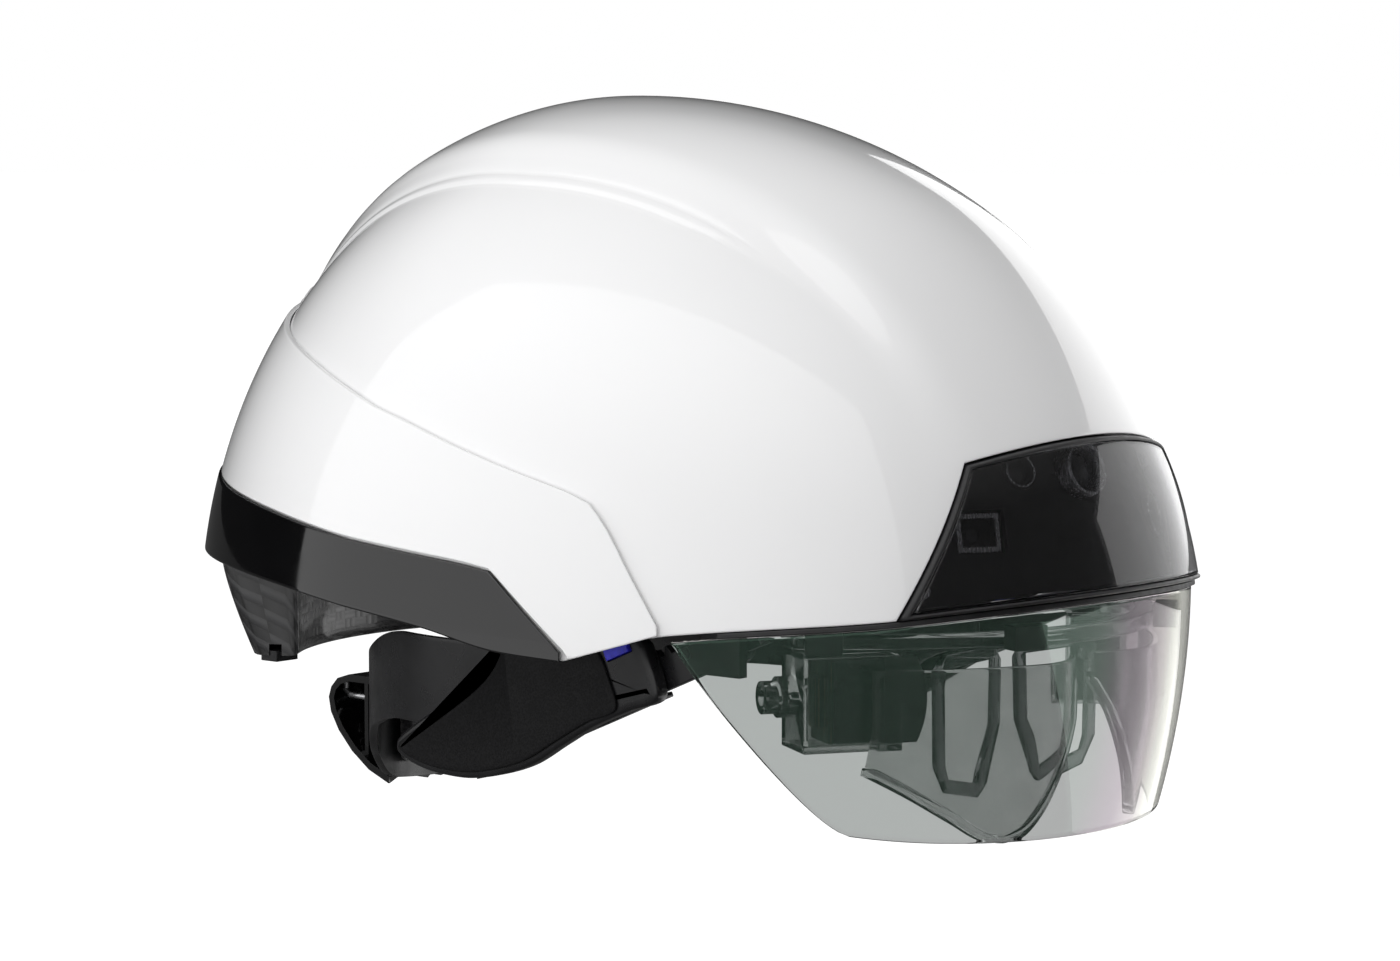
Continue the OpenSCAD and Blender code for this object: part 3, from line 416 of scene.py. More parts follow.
class Finish:
    """A Principled material and the nodes that give it its detail."""

    def __init__(self, name, colour, roughness, **sockets):
        self.material = bpy.data.materials.new(name)
        self.material.use_nodes = True
        self.nodes, self.links = self.material.node_tree.nodes, self.material.node_tree.links
        self.shader = self.nodes["Principled BSDF"]
        self.colour, self.roughness = colour, roughness
        self.shader.inputs["Base Color"].default_value = (*colour, 1)
        self.shader.inputs["Roughness"].default_value = roughness
        for socket, value in sockets.items():
            self.shader.inputs[socket.replace("_", " ")].default_value = value
        self.place = self.nodes.new("ShaderNodeTexCoord").outputs["Object"]
        self.height = None

    def add(self, kind, inputs=None, **settings):
        node = self.nodes.new(kind)
        for key, value in settings.items():
            setattr(node, key, value)
        for key, value in (inputs or {}).items():
            if isinstance(value, bpy.types.NodeSocket):
                self.links.new(value, node.inputs[key])
            else:
                node.inputs[key].default_value = value
        return node

    def math(self, operation, *values):
        return self.add("ShaderNodeMath", dict(enumerate(values)), operation=operation).outputs[0]

    def noise(self, size_mm, detail=2.0, stretch=(1, 1, 1)):
        """Soft noise from 0 to 1 with features of a size in millimetres."""
        where = self.add("ShaderNodeMapping", {"Vector": self.place, "Scale": stretch}).outputs[0]
        inputs = {"Vector": where, "Scale": 1 / (size_mm * MM), "Detail": detail}
        return self.add("ShaderNodeTexNoise", inputs).outputs["Fac"]

    def cells(self, size_mm):
        """Rounded grains of a size in millimetres."""
        inputs = {"Vector": self.place, "Scale": 1 / (size_mm * MM)}
        return self.add("ShaderNodeTexVoronoi", inputs).outputs["Distance"]

    def ramp(self, value, stops):
        node = self.add("ShaderNodeValToRGB", {"Fac": value})
        ramp = node.color_ramp
        while len(ramp.elements) < len(stops):
            ramp.elements.new(0.5)
        for element, (position, colour) in zip(ramp.elements, stops):
            element.position, element.color = position, (*colour, 1)
        return node.outputs["Color"]

    def vary(self, value, share=0.1, low=0.35, high=0.65):
        """The colour drifts lighter and darker with value."""
        dark, light = ([c * (1 + k * share) for c in self.colour] for k in (-1, 1))
        self.links.new(self.ramp(value, [(low, dark), (high, light)]), self.shader.inputs["Base Color"])
        return self

    def rub(self, value, swing):
        """The roughness drifts with value, up and down by a swing."""
        inputs = {"Value": value, "From Min": 0.3, "From Max": 0.7,
                  "To Min": max(0.0, self.roughness - swing),
                  "To Max": min(1.0, self.roughness + swing)}
        drift = self.add("ShaderNodeMapRange", inputs).outputs[0]
        self.links.new(drift, self.shader.inputs["Roughness"])
        return self

    def emboss(self, value, depth_mm, strength=1.0):
        """A relief of a depth in millimetres, over any relief there is already."""
        inputs = {"Height": value, "Distance": depth_mm * MM, "Strength": strength}
        if self.height is not None:
            inputs["Normal"] = self.height
        self.height = self.add("ShaderNodeBump", inputs).outputs[0]
        self.links.new(self.height, self.shader.inputs["Normal"])
        return self

    def weave(self, size_mm, twill=1):
        """Threads over and under, on the piece's own weave map in millimetres: returns the height of
        the thread on top, and 1 where that thread runs across."""
        uv = self.add("ShaderNodeUVMap", uv_map="weave").outputs[0]
        u, v = self.add("ShaderNodeSeparateXYZ", {0: uv}).outputs[:2]
        u, v = self.math("DIVIDE", u, size_mm), self.math("DIVIDE", v, size_mm)
        step = self.math("ADD", self.math("FLOOR", u), self.math("MULTIPLY", self.math("FLOOR", v), twill))
        step = self.math("MODULO", self.math("ADD", step, 4000), 2 * twill)
        over = self.math("GREATER_THAN", step, twill - 0.5)
        along = [self.math("ABSOLUTE", self.math("SINE", self.math("MULTIPLY", w, math.pi)))
                 for w in (u, v)]
        top = self.add("ShaderNodeMix", {"Factor": over, "A": along[0], "B": along[1]}).outputs[0]
        return top, over


def white_shell():
    f = Finish("white_shell", (0.9, 0.9, 0.905), 0.3, Coat_Weight=1.0, Coat_Roughness=0.03)
    return f.vary(f.noise(60), 0.006, 0.2, 0.8)


def gloss_black():
    f = Finish("gloss_black", (0.003, 0.003, 0.0033), 0.06, IOR=1.7)
    return f.vary(f.noise(30), 0.2).rub(f.noise(6), 0.02).emboss(f.noise(2.2), 0.004, 0.2)


def smoked_window():
    f = Finish("smoked_window", (0.2, 0.2, 0.205), 0.02, Transmission_Weight=1.0, IOR=1.45)
    return f.vary(f.noise(25), 0.03)


def black_trim():
    f = Finish("black_trim", (0.012, 0.012, 0.013), 0.42)
    return f.vary(f.noise(4), 0.25).rub(f.noise(3), 0.08).emboss(f.noise(0.5, 4), 0.03, 0.4)


def bright_metal():
    f = Finish("bright_metal", (0.72, 0.72, 0.74), 0.24, Metallic=1.0)
    lines = f.noise(0.4, 3, (1, 1, 0.05))
    return f.vary(lines, 0.1).rub(lines, 0.1).emboss(lines, 0.01, 0.3)


def foam_liner():
    f = Finish("foam_liner", (0.05, 0.05, 0.053), 0.75)
    beads = f.cells(2.6)
    return f.vary(beads, 0.25, 0.1, 0.7).emboss(beads, 0.35, 0.6).emboss(f.noise(0.4, 3), 0.05, 0.4)


def circuit_board():
    f = Finish("circuit_board", (0.012, 0.075, 0.04), 0.35, Coat_Weight=0.4)
    inputs = {"Vector": f.place, "Scale": 300.0, "Mortar Size": 0.03}
    tracks = f.add("ShaderNodeTexBrick", inputs).outputs["Fac"]
    bare = f.math("MULTIPLY", tracks, f.noise(5))
    copper = f.ramp(bare, [(0.35, f.colour), (0.5, (0.25, 0.2, 0.09))])
    f.links.new(copper, f.shader.inputs["Base Color"])
    return f.rub(f.noise(2), 0.1).emboss(tracks, 0.04, 0.5)


def matte_black():
    f = Finish("matte_black", (0.013, 0.013, 0.014), 0.45)
    return f.vary(f.noise(6), 0.2).rub(f.noise(5), 0.08).emboss(f.noise(0.35, 3), 0.03, 0.35)


def satin_black():
    f = Finish("satin_black", (0.011, 0.011, 0.012), 0.3)
    return f.vary(f.noise(12), 0.2).rub(f.noise(9), 0.06).emboss(f.noise(0.3, 3), 0.012, 0.3)


def matte_grey():
    f = Finish("matte_grey", (0.008, 0.008, 0.0085), 0.5, Specular_IOR_Level=0.16)
    grain = f.cells(0.55)
    return f.vary(grain, 0.35, 0.1, 0.8).rub(f.noise(7), 0.06).emboss(grain, 0.05, 0.5)


def webbing():
    f = Finish("webbing", (0.014, 0.014, 0.016), 0.8, Sheen_Weight=0.3)
    top, over = f.weave(1.1)
    # Colour: the threads running across are a shade lighter, which is the weave's own pattern. Each thread
    # is also painted darker towards its edges and lighter on its crown: painted shade between the threads.
    weave_tone_and_painted_shade = f.math("MULTIPLY_ADD", top, 0.6, f.math("MULTIPLY", over, 0.15))
    return f.vary(weave_tone_and_painted_shade, 0.6, 0.1, 0.8).emboss(top, 0.25, 0.9).emboss(f.noise(0.2, 3), 0.05, 0.4)


def pad():
    f = Finish("pad", (0.018, 0.018, 0.02), 0.9, Sheen_Weight=0.4)
    knit = f.cells(1.5)
    return f.vary(knit, 0.5, 0.1, 0.7).emboss(knit, 0.3, 0.8).emboss(f.noise(0.3, 3), 0.06, 0.5)


def clear_visor():
    f = Finish("clear_visor", (0.36, 0.37, 0.365), 0.01, Transmission_Weight=1.0, IOR=1.5)
    facing = f.add("ShaderNodeLayerWeight", {"Blend": 0.5}).outputs["Facing"]
    through = f.ramp(facing, [(0.0, (0.38, 0.41, 0.395)), (0.35, (0.38, 0.38, 0.38)),
                              (0.5, (0.44, 0.36, 0.42)), (0.62, (0.7, 0.58, 0.62)),
                              (0.7, (0.95, 0.92, 0.8)), (0.78, (1.0, 1.0, 0.84))])
    coat = f.ramp(facing, [(0.0, (0.62, 1.0, 0.78)), (0.3, (0.75, 1.0, 0.85)),
                           (0.42, (1.0, 0.6, 0.9)), (0.6, (1.0, 0.72, 0.84)),
                           (0.8, (1.0, 1.0, 0.82))])
    f.links.new(through, f.shader.inputs["Base Color"])
    f.links.new(coat, f.shader.inputs["Specular Tint"])
    return f.rub(f.noise(20), 0.005)


def clear_plastic():
    f = Finish("clear_plastic", (0.42, 0.43, 0.425), 0.03, Transmission_Weight=1.0, IOR=1.4)
    return f.vary(f.noise(8), 0.05).rub(f.noise(4), 0.02)


def dark_metal():
    f = Finish("dark_metal", (0.10, 0.105, 0.11), 0.35, Metallic=0.9)
    return f.vary(f.noise(2), 0.2).rub(f.noise(3), 0.1).emboss(f.noise(0.3, 3), 0.02, 0.3)


def black_lens():
    f = Finish("black_lens", (0.004, 0.004, 0.005), 0.05, Coat_Weight=1.0)
    return f.vary(f.noise(6), 0.3).emboss(f.noise(5), 0.003, 0.1)


def blue_plastic():
    f = Finish("blue_plastic", (0.03, 0.03, 0.62), 0.35)
    return f.vary(f.noise(1.5), 0.15).rub(f.noise(2), 0.08).emboss(f.noise(0.3, 3), 0.02, 0.3)


def carbon():
    f = Finish("carbon", (0.018, 0.018, 0.019), 0.3, Coat_Weight=0.6, Coat_Roughness=0.08)
    top, over = f.weave(3.4, 2)
    # Colour: the tows running across are much lighter, which is the weave's own pattern. Each tow is also
    # painted darker towards its edges and lighter on its crown: painted shade between the tows.
    weave_tone_and_painted_shade = f.math("MULTIPLY_ADD", over, 0.55, f.math("MULTIPLY", top, 0.35))
    return f.vary(weave_tone_and_painted_shade, 0.75, 0.05, 0.85).emboss(top, 0.16, 0.8)


def cell_wrap():
    f = Finish("cell_wrap", (0.06, 0.16, 0.34), 0.4)
    return f.vary(f.noise(3), 0.1).rub(f.noise(4), 0.1).emboss(f.noise(1), 0.02, 0.3)


MAKERS = [white_shell, gloss_black, smoked_window, black_trim, bright_metal, foam_liner, circuit_board,
          matte_black, satin_black, matte_grey, webbing, pad, clear_visor, clear_plastic, dark_metal,
          black_lens, blue_plastic, carbon, cell_wrap]
finishes = {maker.__name__: maker().material for maker in MAKERS}

# ---- CAD nodes that keep their shape ----


def dress_nodes():
    """Gives every CAD node its slot's finish, and fine bevels along its sharp edges."""
    for part in frame["record"]["subparts"]:
        node = frame["nodes"][part["node"]]
        for slot in node.material_slots:
            slot.material = finishes[part["material_slot"]]
        weld = node.modifiers.new("weld", "WELD")
        weld.merge_threshold = 1e-5
        bevel = node.modifiers.new("bevel", "BEVEL")
        bevel.width, bevel.segments, bevel.angle_limit = 0.25 * MM, 2, math.radians(40)
        bevel.harden_normals = True


# ---- shell ----


def shell_columns():
    half = spread([0, 23.5, 34.2, 57.5, 66.7, 90, 180], 0.8)
    return np.concatenate([-half[:0:-1], half[:-1]])


def shell_skin():
    """Rings follow the crest's foot line, so that its ledge and ramp are crisp."""
    phi = shell_columns()
    a = np.radians(phi)
    wide = HALF_W * abs(np.sin(a))
    deep = -np.where(abs(phi) < 90, FRONT, REAR) * np.cos(a)
    low = np.arcsin(rim_z(phi) / HEIGHT)
    lines = [-CREST_RAMP * 0.35, -3.4, -2.9, -2.4, -1.6, -0.6, 0, 0.5, 1.2, 2.2, 3.6, 5.2, 7, 9, 11,
             CREST_RAMP]
    crossings = []
    for k, line in enumerate(lines):
        near, far = np.zeros_like(phi), np.cos(low)
        for _ in range(30):
            middle = (near + far) / 2
            inside = inside_crest(wide * middle, deep * middle) > line
            near, far = np.where(inside, middle, near), np.where(inside, far, middle)
        rise = np.arccos(np.clip(near, 0, 1))
        crossings.append(np.maximum(rise, low + math.radians(3 + 0.8 * k)))
    first = math.radians(0.8)
    below = [low] + [mix(low + first, crossings[0], t) for t in np.linspace(0, 1, 34)[:-1]]
    above = [mix(crossings[-1], math.pi / 2, t) for t in np.linspace(0, 0.985, 36)[1:]]
    rises = np.array(below + crossings + above)
    inner_low = np.arcsin(rim_z(phi) / (HEIGHT - WALL))
    inner_rises = mix(inner_low, math.pi / 2, (rises - low) / (math.pi / 2 - low))
    outer = crested(dome(phi, HEIGHT * np.sin(rises), 0))
    inner = crested(dome(phi, (HEIGHT - WALL) * np.sin(inner_rises), -WALL))
    top = HEIGHT + CREST_RISE
    make("shell_skin", *bowl(outer, inner, (0, 0, top), (0, 0, top - WALL), 0.5), "white_shell",
         "helmet", replaces=["upper_shell"])


def rear_layer(name, low, top, corners, thick, rows, finish, node):
    """A layer round the back of the shell, between two edges."""
    first = low[0][0] + 0.1
    stops = [first] + [c for c in corners if c > first + 0.2] + [180]
    half = spread(stops, 0.9)
    phi = np.concatenate([half, 360 - half[-2::-1]])
    fold = np.minimum(phi, 360 - phi)
    v = np.linspace(0, 1, rows)[:, None]
    z = mix(curve(low, fold, corners), curve(top, fold, corners), v)
    walls = [crested(dome(phi, z, off)) for off in (GAP + thick, GAP)]
    make(name, *slab(*walls, 0.45), finish, "helmet", replaces=[node])


def shell():
    shell_skin()
    rear_layer("rear_panel_skin", PANEL_LOW, SEAM, (64.3, 66, 66.4, 74), 1.3, 26, "white_shell",
               "rear_panel")
    rear_layer("rear_band_skin", BAND_LOW, BAND_TOP, (74,), 1.8, 20, "gloss_black", "rear_band")
    phi = np.linspace(-TRIM_PHI, TRIM_PHI, 150)
    z = front_low_z(phi) + np.linspace(-TRIM_H - 0.1, -0.1, 5)[:, None]
    make("rim_seal", *slab(dome(phi, z, 0), dome(phi, z, -WALL), 0.3), "black_trim", "helmet",
         replaces=["rim_trim"])
    phi = spread([-180, -52, -36, 36, 52, 180], 2.5)[:-1]
    low = np.arcsin(curve(LINER_EDGE, abs(phi)) / (HEIGHT + LINER_OFFS[0]))
    rises = mix(low, math.pi / 2, np.concatenate([[0], np.linspace(0.04, 0.985, 40)])[:, None])
    walls = [dome(phi, (HEIGHT + off) * np.sin(rises), off) for off in LINER_OFFS]
    tops = [(0, 0, HEIGHT + off) for off in LINER_OFFS]
    make("foam_shell", *bowl(*walls, *tops, 1.0), "foam_liner", "helmet", replaces=["inner_liner"])


# ---- sensor window ----


WINDOW_HALF_W, WINDOW_H, SEAL_W, PANE_OFF, PANE_T = 40, 36, 1.3, 1.2, 2


def window_shares(margin):
    """How far across, and from where to where up, the window reaches inside a margin."""
    return 1 - margin / WINDOW_HALF_W, margin / WINDOW_H, 1 - margin / WINDOW_H


def window_loop(off, margin):
    """The line round the window, a margin inside its opening."""
    u, low, top = window_shares(margin)
    across, up = np.linspace(-u, u, 60), np.linspace(low, top, 24)
    return np.concatenate([window_point(across[:-1], low, off), window_point(u, up[:-1], off),
                           window_point(across[:0:-1], top, off), window_point(-u, up[:0:-1], off)])


def window():
    reach, low, top = window_shares(SEAL_W + 0.2)
    u = np.linspace(-reach, reach, 90)
    v = np.linspace(low, top, 34)[:, None]
    faces = [window_point(u, v, off) for off in (PANE_OFF, PANE_OFF - PANE_T)]
    make("window_pane", *slab(*faces, 0.35), "smoked_window", "helmet", replaces=["sensor_cover"])
    section = [(1.1, 0.25), (1.5, 0.45), (1.6, 0.75), (1.5, 1.1), (1.1, SEAL_W), (-WALL, SEAL_W),
               (-WALL, 0.25)]
    loops = np.array([window_loop(off, margin) for off, margin in section])
    rows, cols, _ = loops.shape
    last = (rows - 1) * cols
    faces = quads(rows, cols, ring=True)
    faces += [(last + j, last + (j + 1) % cols, (j + 1) % cols, j) for j in range(cols)]
    make("window_seal", loops, faces, "black_trim", "helmet", replaces=["cover_seal"])


SENSOR_DEPTH = 12
TRACKING, DEPTH, DEPTH_HALF = (-6, 48, 6.9), (-35, 36), (6.2, 5.2)
SIDE_SENSORS = [(-46.5, 35, 3), (-22, 49, 4.5), (42, 35, 4), (24, 36, 6)]


def behind_window(spot):
    """Takes points of a sensor's own frame, whose third axis looks out of the window, to the hat's."""
    x, z = spot[:2]
    y = float(front_y(x, z, -SENSOR_DEPTH))
    tilt = math.atan(z * FRONT**2 / (-y * HEIGHT**2)) * 0.75
    turn = math.atan(x * FRONT**2 / (-y * HALF_W**2))
    side = np.array([math.cos(turn), math.sin(turn), 0])
    out = np.array([math.cos(tilt) * math.sin(turn), -math.cos(tilt) * math.cos(turn), math.sin(tilt)])
    up = np.cross(out, side)
    return lambda p: np.array([x, y, z]) + p[:, :1] * side + p[:, 1:2] * up + p[:, 2:] * out


def hoop(radius, wide, low, high, place):
    """Points and faces of a ring with rounded rims, between two heights."""
    middle, n = (low + high) / 2, 64
    section = np.radians(np.linspace(0, 360, 12, endpoint=False))
    loops = [(radius + wide / 2 * math.cos(a), middle + (high - low) / 2 * math.sin(a))
             for a in section]
    turn = np.linspace(0, 2 * np.pi, n, endpoint=False)
    rings = [np.stack([r * np.cos(turn), r * np.sin(turn), np.full(n, h)], -1) for r, h in loops]
    faces = [tuple(k % (len(rings) * n) for k in face) for face in quads(len(rings) + 1, n, ring=True)]
    return place(np.concatenate(rings)), faces


def lens_glass(radius, low, rise, place):
    """A domed lens of a radius, standing on a height."""
    foot = low + 0.6
    profile = [(radius, low), (radius, foot)]
    profile += [(radius * math.cos(a), foot + rise * math.sin(a))
                for a in np.radians([12, 26, 42, 58, 72, 84])]
    return lathe(profile, 56, place)


def sensors():
    place = behind_window(TRACKING)
    make("tracking_lens", *lens_glass(5.4, 3.1, 4.4, place), "black_lens", "helmet")
    make("tracking_ring", *hoop(6.3, 1.0, 8.9, 10.1, place), "bright_metal", "helmet")
    for k, spot in enumerate(SIDE_SENSORS):
        place = behind_window(spot)
        make(f"side_lens_{k}", *lens_glass(spot[2] - 1.25, 4.1, 1.1, place), "black_lens", "helmet")
        make(f"side_ring_{k}", *hoop(spot[2] - 0.55, 0.5, 6.9, 7.3, place), "bright_metal", "helmet")
    place = behind_window(DEPTH)
    half_x, half_z = (half - 0.5 for half in DEPTH_HALF)
    corners = [(-half_x, -half_z), (half_x, -half_z), (half_x, half_z), (-half_x, half_z)]
    frame_piece = make("depth_frame", *prism(corners, 3.9, 4.8, 0.2, place), "bright_metal", None)
    carve(frame_piece, [boxed((1.2 - half_x, 1.2 - half_z, 3), (half_x - 1.2, half_z - 1.2, 6), place)])
    dress(frame_piece, "bright_metal", "helmet")
    make("depth_lens", *lens_glass(2.2, 0.2, 1.0, place), "black_lens", "helmet")


# ---- visor and optics ----


def visor():
    v = np.linspace(0, 1, 60)[:, None]
    reach = mix(VISOR_LOW_PHI, VISOR_PHI, v**0.65)
    phi = reach * np.linspace(-1, 1, 150)
    low = -VISOR_DROP + 3 * (phi / VISOR_LOW_PHI) ** 4 * (1 - v)
    z = mix(low, front_low_z(phi) - TRIM_H - GAP, v)
    faces = [visor_wall(phi, z, off) for off in (-0.8, -0.8 - VISOR_T)]
    make("visor_pane", *slab(*faces, 0.5), "clear_visor", "visor", replaces=["visor"])


LENS_LOW = [(4, 0), (8, 8), (14, 20), (20, 31), (24, 35.5), (28, 37), (32, 36), (40, 31), (50, 24),
            (58, 18.5)]
LENS_BACK = 0.8 + VISOR_T + 3.5  # how far a combiner's front face lies behind the shell's surface


def lens_point(x, z, off):
    nose = np.clip(1 + x / 24, 0, None) ** 2
    y = visor_y(x, np.minimum(z, -10), -LENS_BACK - off) + 12 * nose
    return np.stack([x + 0 * z, y, z], -1)


def combiners():
    x = np.linspace(-58, -4, 70)
    low = -curve(LENS_LOW, -x)
    for side, sign in SIDES.items():
        z = mix(low, 5, np.linspace(0, 1, 40)[:, None])
        make(f"combiner_lens_{side}", *slab(lens_point(x, z, 0), lens_point(x, z, 1.8), 0.35),
             "clear_plastic", "helmet", mirrored=sign < 0, replaces=[f"combiner_{side}"])
        z = low - np.linspace(2.2, 0.15, 5)[:, None]
        make(f"combiner_edge_{side}", *slab(lens_point(x, z, -0.6), lens_point(x, z, 2.4), 0.5),
             "clear_plastic", "helmet", mirrored=sign < 0, replaces=["combiner_rims"])


def optics_rail():
    phi = np.linspace(-44, 44, 100)
    z = np.linspace(9.3, 13.3, 6)[:, None]
    make("optics_rail", *slab(visor_wall(phi, z, -9.5), visor_wall(phi, z, -15), 0.6),
         "clear_plastic", "helmet", replaces=["optics_bar"])


# ---- suspension ----


def ellipse(a, b, degrees):
    t = np.radians(degrees)
    return np.stack([a * np.cos(t), b * np.sin(t)], -1)


def strap_span(heading):
    a = math.radians(heading)
    return 1 / math.hypot(math.sin(a) / HEAD_W, math.cos(a) / HEAD_L) + 2


def crown_strap(name, heading, layer, replaces):
    """One strap over the head, from clip to clip, with its weave laid along it."""
    half, height = strap_span(heading) + STRAP_LIFT * layer, HEAD_TOP + STRAP_LIFT * layer
    degrees = np.linspace(24, 156, 120)
    across = np.linspace(-STRAP_W / 2, STRAP_W / 2, 22)[:, None]
    crown = 0.35 * (1 - (across / (STRAP_W / 2)) ** 4)
    turn = math.radians(90 + heading)

    def wall(extra):
        x, z = ellipse(half + extra, height + extra, degrees).T
        return np.stack([x * math.cos(turn) - across * math.sin(turn),
                         x * math.sin(turn) + across * math.cos(turn), z + crown], -1)
    points, faces = slab(wall(STRAP_T), wall(0), 0.4)
    along = np.linalg.norm(np.diff(ellipse(half, height, degrees), axis=0), axis=1).cumsum()
    length = np.concatenate([[0], along])
    face = np.stack([length + 0 * across, across + 0 * length], -1)
    uv = slab_map(face, len(points), 0)
    make(name, points, faces, "webbing", "helmet", uv=uv, replaces=replaces)


def headband():
    degrees = np.linspace(180, 360, 120)
    z = np.linspace(13, 31, 10)[:, None]

    def wall(extra):
        x, y = ellipse(HEAD_W + extra, HEAD_L + extra, degrees).T
        return np.stack([x + 0 * z, y + 0 * z, z + 0 * x], -1)
    make("forehead_frame", *slab(wall(3), wall(1.2), 0.5), "matte_black", "helmet",
         replaces=["front_headband"])


def suspension():
    crown_strap("strap_fore_aft", 0, 0, ["crown_strap_long"])
    crown_strap("strap_cross_a", 55, 1, ["crown_straps_cross"])
    crown_strap("strap_cross_b", -55, 2, ["crown_straps_cross"])
    headband()


# ---- pads ----


def swollen_pad(node, body, inset_mm, cap_mm, voxel_mm=2.6):
    """A foam pad: the CAD solid, a little smaller, swollen by a cloth simulation under pressure."""
    source = frame["nodes"][node]
    piece = bpy.data.objects.new(f"{node}_foam", source.data.copy())
    scene.collection.objects.link(piece)
    piece.data.materials.clear()
    piece.data.materials.append(finishes["pad"])
    remesh = piece.modifiers.new("remesh", "REMESH")
    remesh.mode, remesh.voxel_size = "VOXEL", voxel_mm * MM
    apply_modifiers(piece)
    normals = np.array([v.normal for v in piece.data.vertices])
    start = np.array([v.co for v in piece.data.vertices]) - normals * inset_mm * MM
    piece.data.vertices.foreach_set("co", start.ravel())
    cloth = piece.modifiers.new("cloth", "CLOTH")
    cloth.settings.use_pressure = True
    cloth.settings.uniform_pressure_force = 4
    cloth.settings.effector_weights.gravity = 0
    for moment in range(1, 21):
        scene.frame_set(moment)
    apply_modifiers(piece)
    scene.frame_set(1)
    end = np.array([v.co for v in piece.data.vertices])
    move = end - start
    far = np.linalg.norm(move, axis=1, keepdims=True)
    end = start + move * np.minimum(1, cap_mm * MM / np.maximum(far, 1e-9))
    piece.data.vertices.foreach_set("co", end.ravel())
    smoother = piece.modifiers.new("subdivision", "SUBSURF")
    smoother.levels = smoother.render_levels = 1
    apply_modifiers(piece)
    piece.data.polygons.foreach_set("use_smooth", [True] * len(piece.data.polygons))
    dress(piece, "pad", body, [node])


def apply_modifiers(piece):
    bpy.context.view_layer.update()
    made = bpy.data.meshes.new_from_object(piece.evaluated_get(bpy.context.evaluated_depsgraph_get()))
    piece.modifiers.clear()
    piece.data = made


def pads():
    swollen_pad("brow_pad", "helmet", 0.7, 1.2)
    swollen_pad("nape_pad", "cradle", 0.6, 1.0)
    for side in SIDES:
        swollen_pad(f"side_pad_{side}", "cradle", 0.6, 1.0)


# ---- cradle ----

PADDLE = [(22.8, -5.7), (33, -5.7), (46, -5.7), (58, -7), (69.4, -8.4), (80.4, -7.6), (90.4, -5.4),
          (97.4, -2.6), (104.4, 1.2), (110, 5.6), (112.4, 9), (111, 11.6), (103.4, 13.4), (92.4, 15),
          (80.7, 17.2), (74.4, 19.2), (69.7, 22), (65.4, 27.5), (61.4, 26), (56.4, 22.5), (48, 18),
          (40, 13.5), (33, 12), (26, 11.7), (23.2, 10), (21.8, 7)]
PANEL = [(36, -4.2), (46, -4.3), (58, -5.5), (69.4, -6.8), (80, -6), (90, -3.8), (97, -1), (103.6, 2.6),
         (108.6, 6.4), (110.8, 9.2), (110, 10.4), (103, 11.9), (92, 13.5), (80.4, 15.7), (73.6, 17.8),
         (68.4, 21), (64.8, 25.6), (61.6, 24.4), (56.8, 21), (48, 16.4), (40, 12), (36, 10.6), (35.2, 4)]
BUTTON, PADDLE_T = (30, 9.2), 4.6
NAPE_LOW = [(0, -47), (23, -44.5), (40, -34), (55, -24), (75, -19), (90, -19), (130, -11)]
NAPE_TOP = [(0, -16), (23, -14), (50, -4), (75, 4), (90, 4), (130, -1)]
NAPE_HALF_W = ARM_X - GAP


def paddles():
    low, high = ARM_T + GAP, ARM_T + GAP + PADDLE_T
    for side, sign in SIDES.items():
        piece = make(f"paddle_shell_{side}", *prism(closed_curve(PADDLE, 1.0), low, high, 0.9, from_arm),
                     "satin_black", None, mirrored=sign < 0)
        points, faces = boxed((BUTTON[0] - 4.2, BUTTON[1] - 1.9, 0),
                              (BUTTON[0] + 4.2, BUTTON[1] + 1.9, 12), from_arm)
        carve(piece, [(points * (sign, 1, 1), faces)])
        dress(piece, "satin_black", "cradle", [f"paddle_{side}"])
        for k, (x0, x1, y0, y1) in enumerate([(24, 92, -5.6, -4.3), (36, 76, 6.6, 8.6)]):
            guide = [(x0, y0), (x1, y0), (x1, y1), (x0, y1)]
            make(f"paddle_guide_{k}_{side}", *prism(guide, -GAP, low + GAP, 0.3, from_arm),
                 "satin_black", "cradle", mirrored=sign < 0)
        face = prism(closed_curve(PANEL, 1.0), high, high + 0.8, 0.38, from_arm, 0.12)
        make(f"paddle_face_{side}", *face, "matte_grey", "cradle", mirrored=sign < 0,
             replaces=[f"side_panel_{side}"])


def nape_plan(t, off):
    a = np.radians(t)
    behind = np.stack([-(NAPE_HALF_W + off) * np.sin(a), (REAR_Y + off) * np.cos(a)], -1)
    beside = np.stack([-(NAPE_HALF_W + off) * np.sign(t), -(abs(t) - 90) * 1.3], -1)
    return np.where((abs(t) <= 90)[..., None], behind, beside)


def nape_wall(t, v, off):
    z = mix(curve(NAPE_LOW, abs(t)), curve(NAPE_TOP, abs(t)), v)
    plan = nape_plan(t, off)
    return np.stack([plan[..., 0] + 0 * z, plan[..., 1] + 0 * z, z], -1)


def lens_hole(sign):
    """The pointed oval opening through the band, on one side."""
    half, radius, reach = 5, 11, 15
    end = math.sqrt(radius**2 - half**2)
    angle = np.degrees(math.asin(end / radius))
    arc = [(-half + radius * math.cos(a), radius * math.sin(a))
           for a in np.radians(np.linspace(-angle, angle, 15))]
    outline = np.array(arc[:-1] + [(-x, -z) for x, z in arc[:-1]])
    turn = math.radians(52) * sign

    def place(points):
        x, up, out = points[:, 0], points[:, 1], points[:, 2]
        return np.stack([sign * -46 + x * math.cos(turn) - out * math.sin(turn),
                         55 + x * math.sin(turn) + out * math.cos(turn), -17 + up], -1)
    n = len(outline)
    points = np.concatenate([np.column_stack([outline, np.full(n, h)]) for h in (-reach, reach)])
    ends = [tuple(reversed(range(n))), tuple(range(n, 2 * n))]
    return place(points), quads(2, n, ring=True) + ends


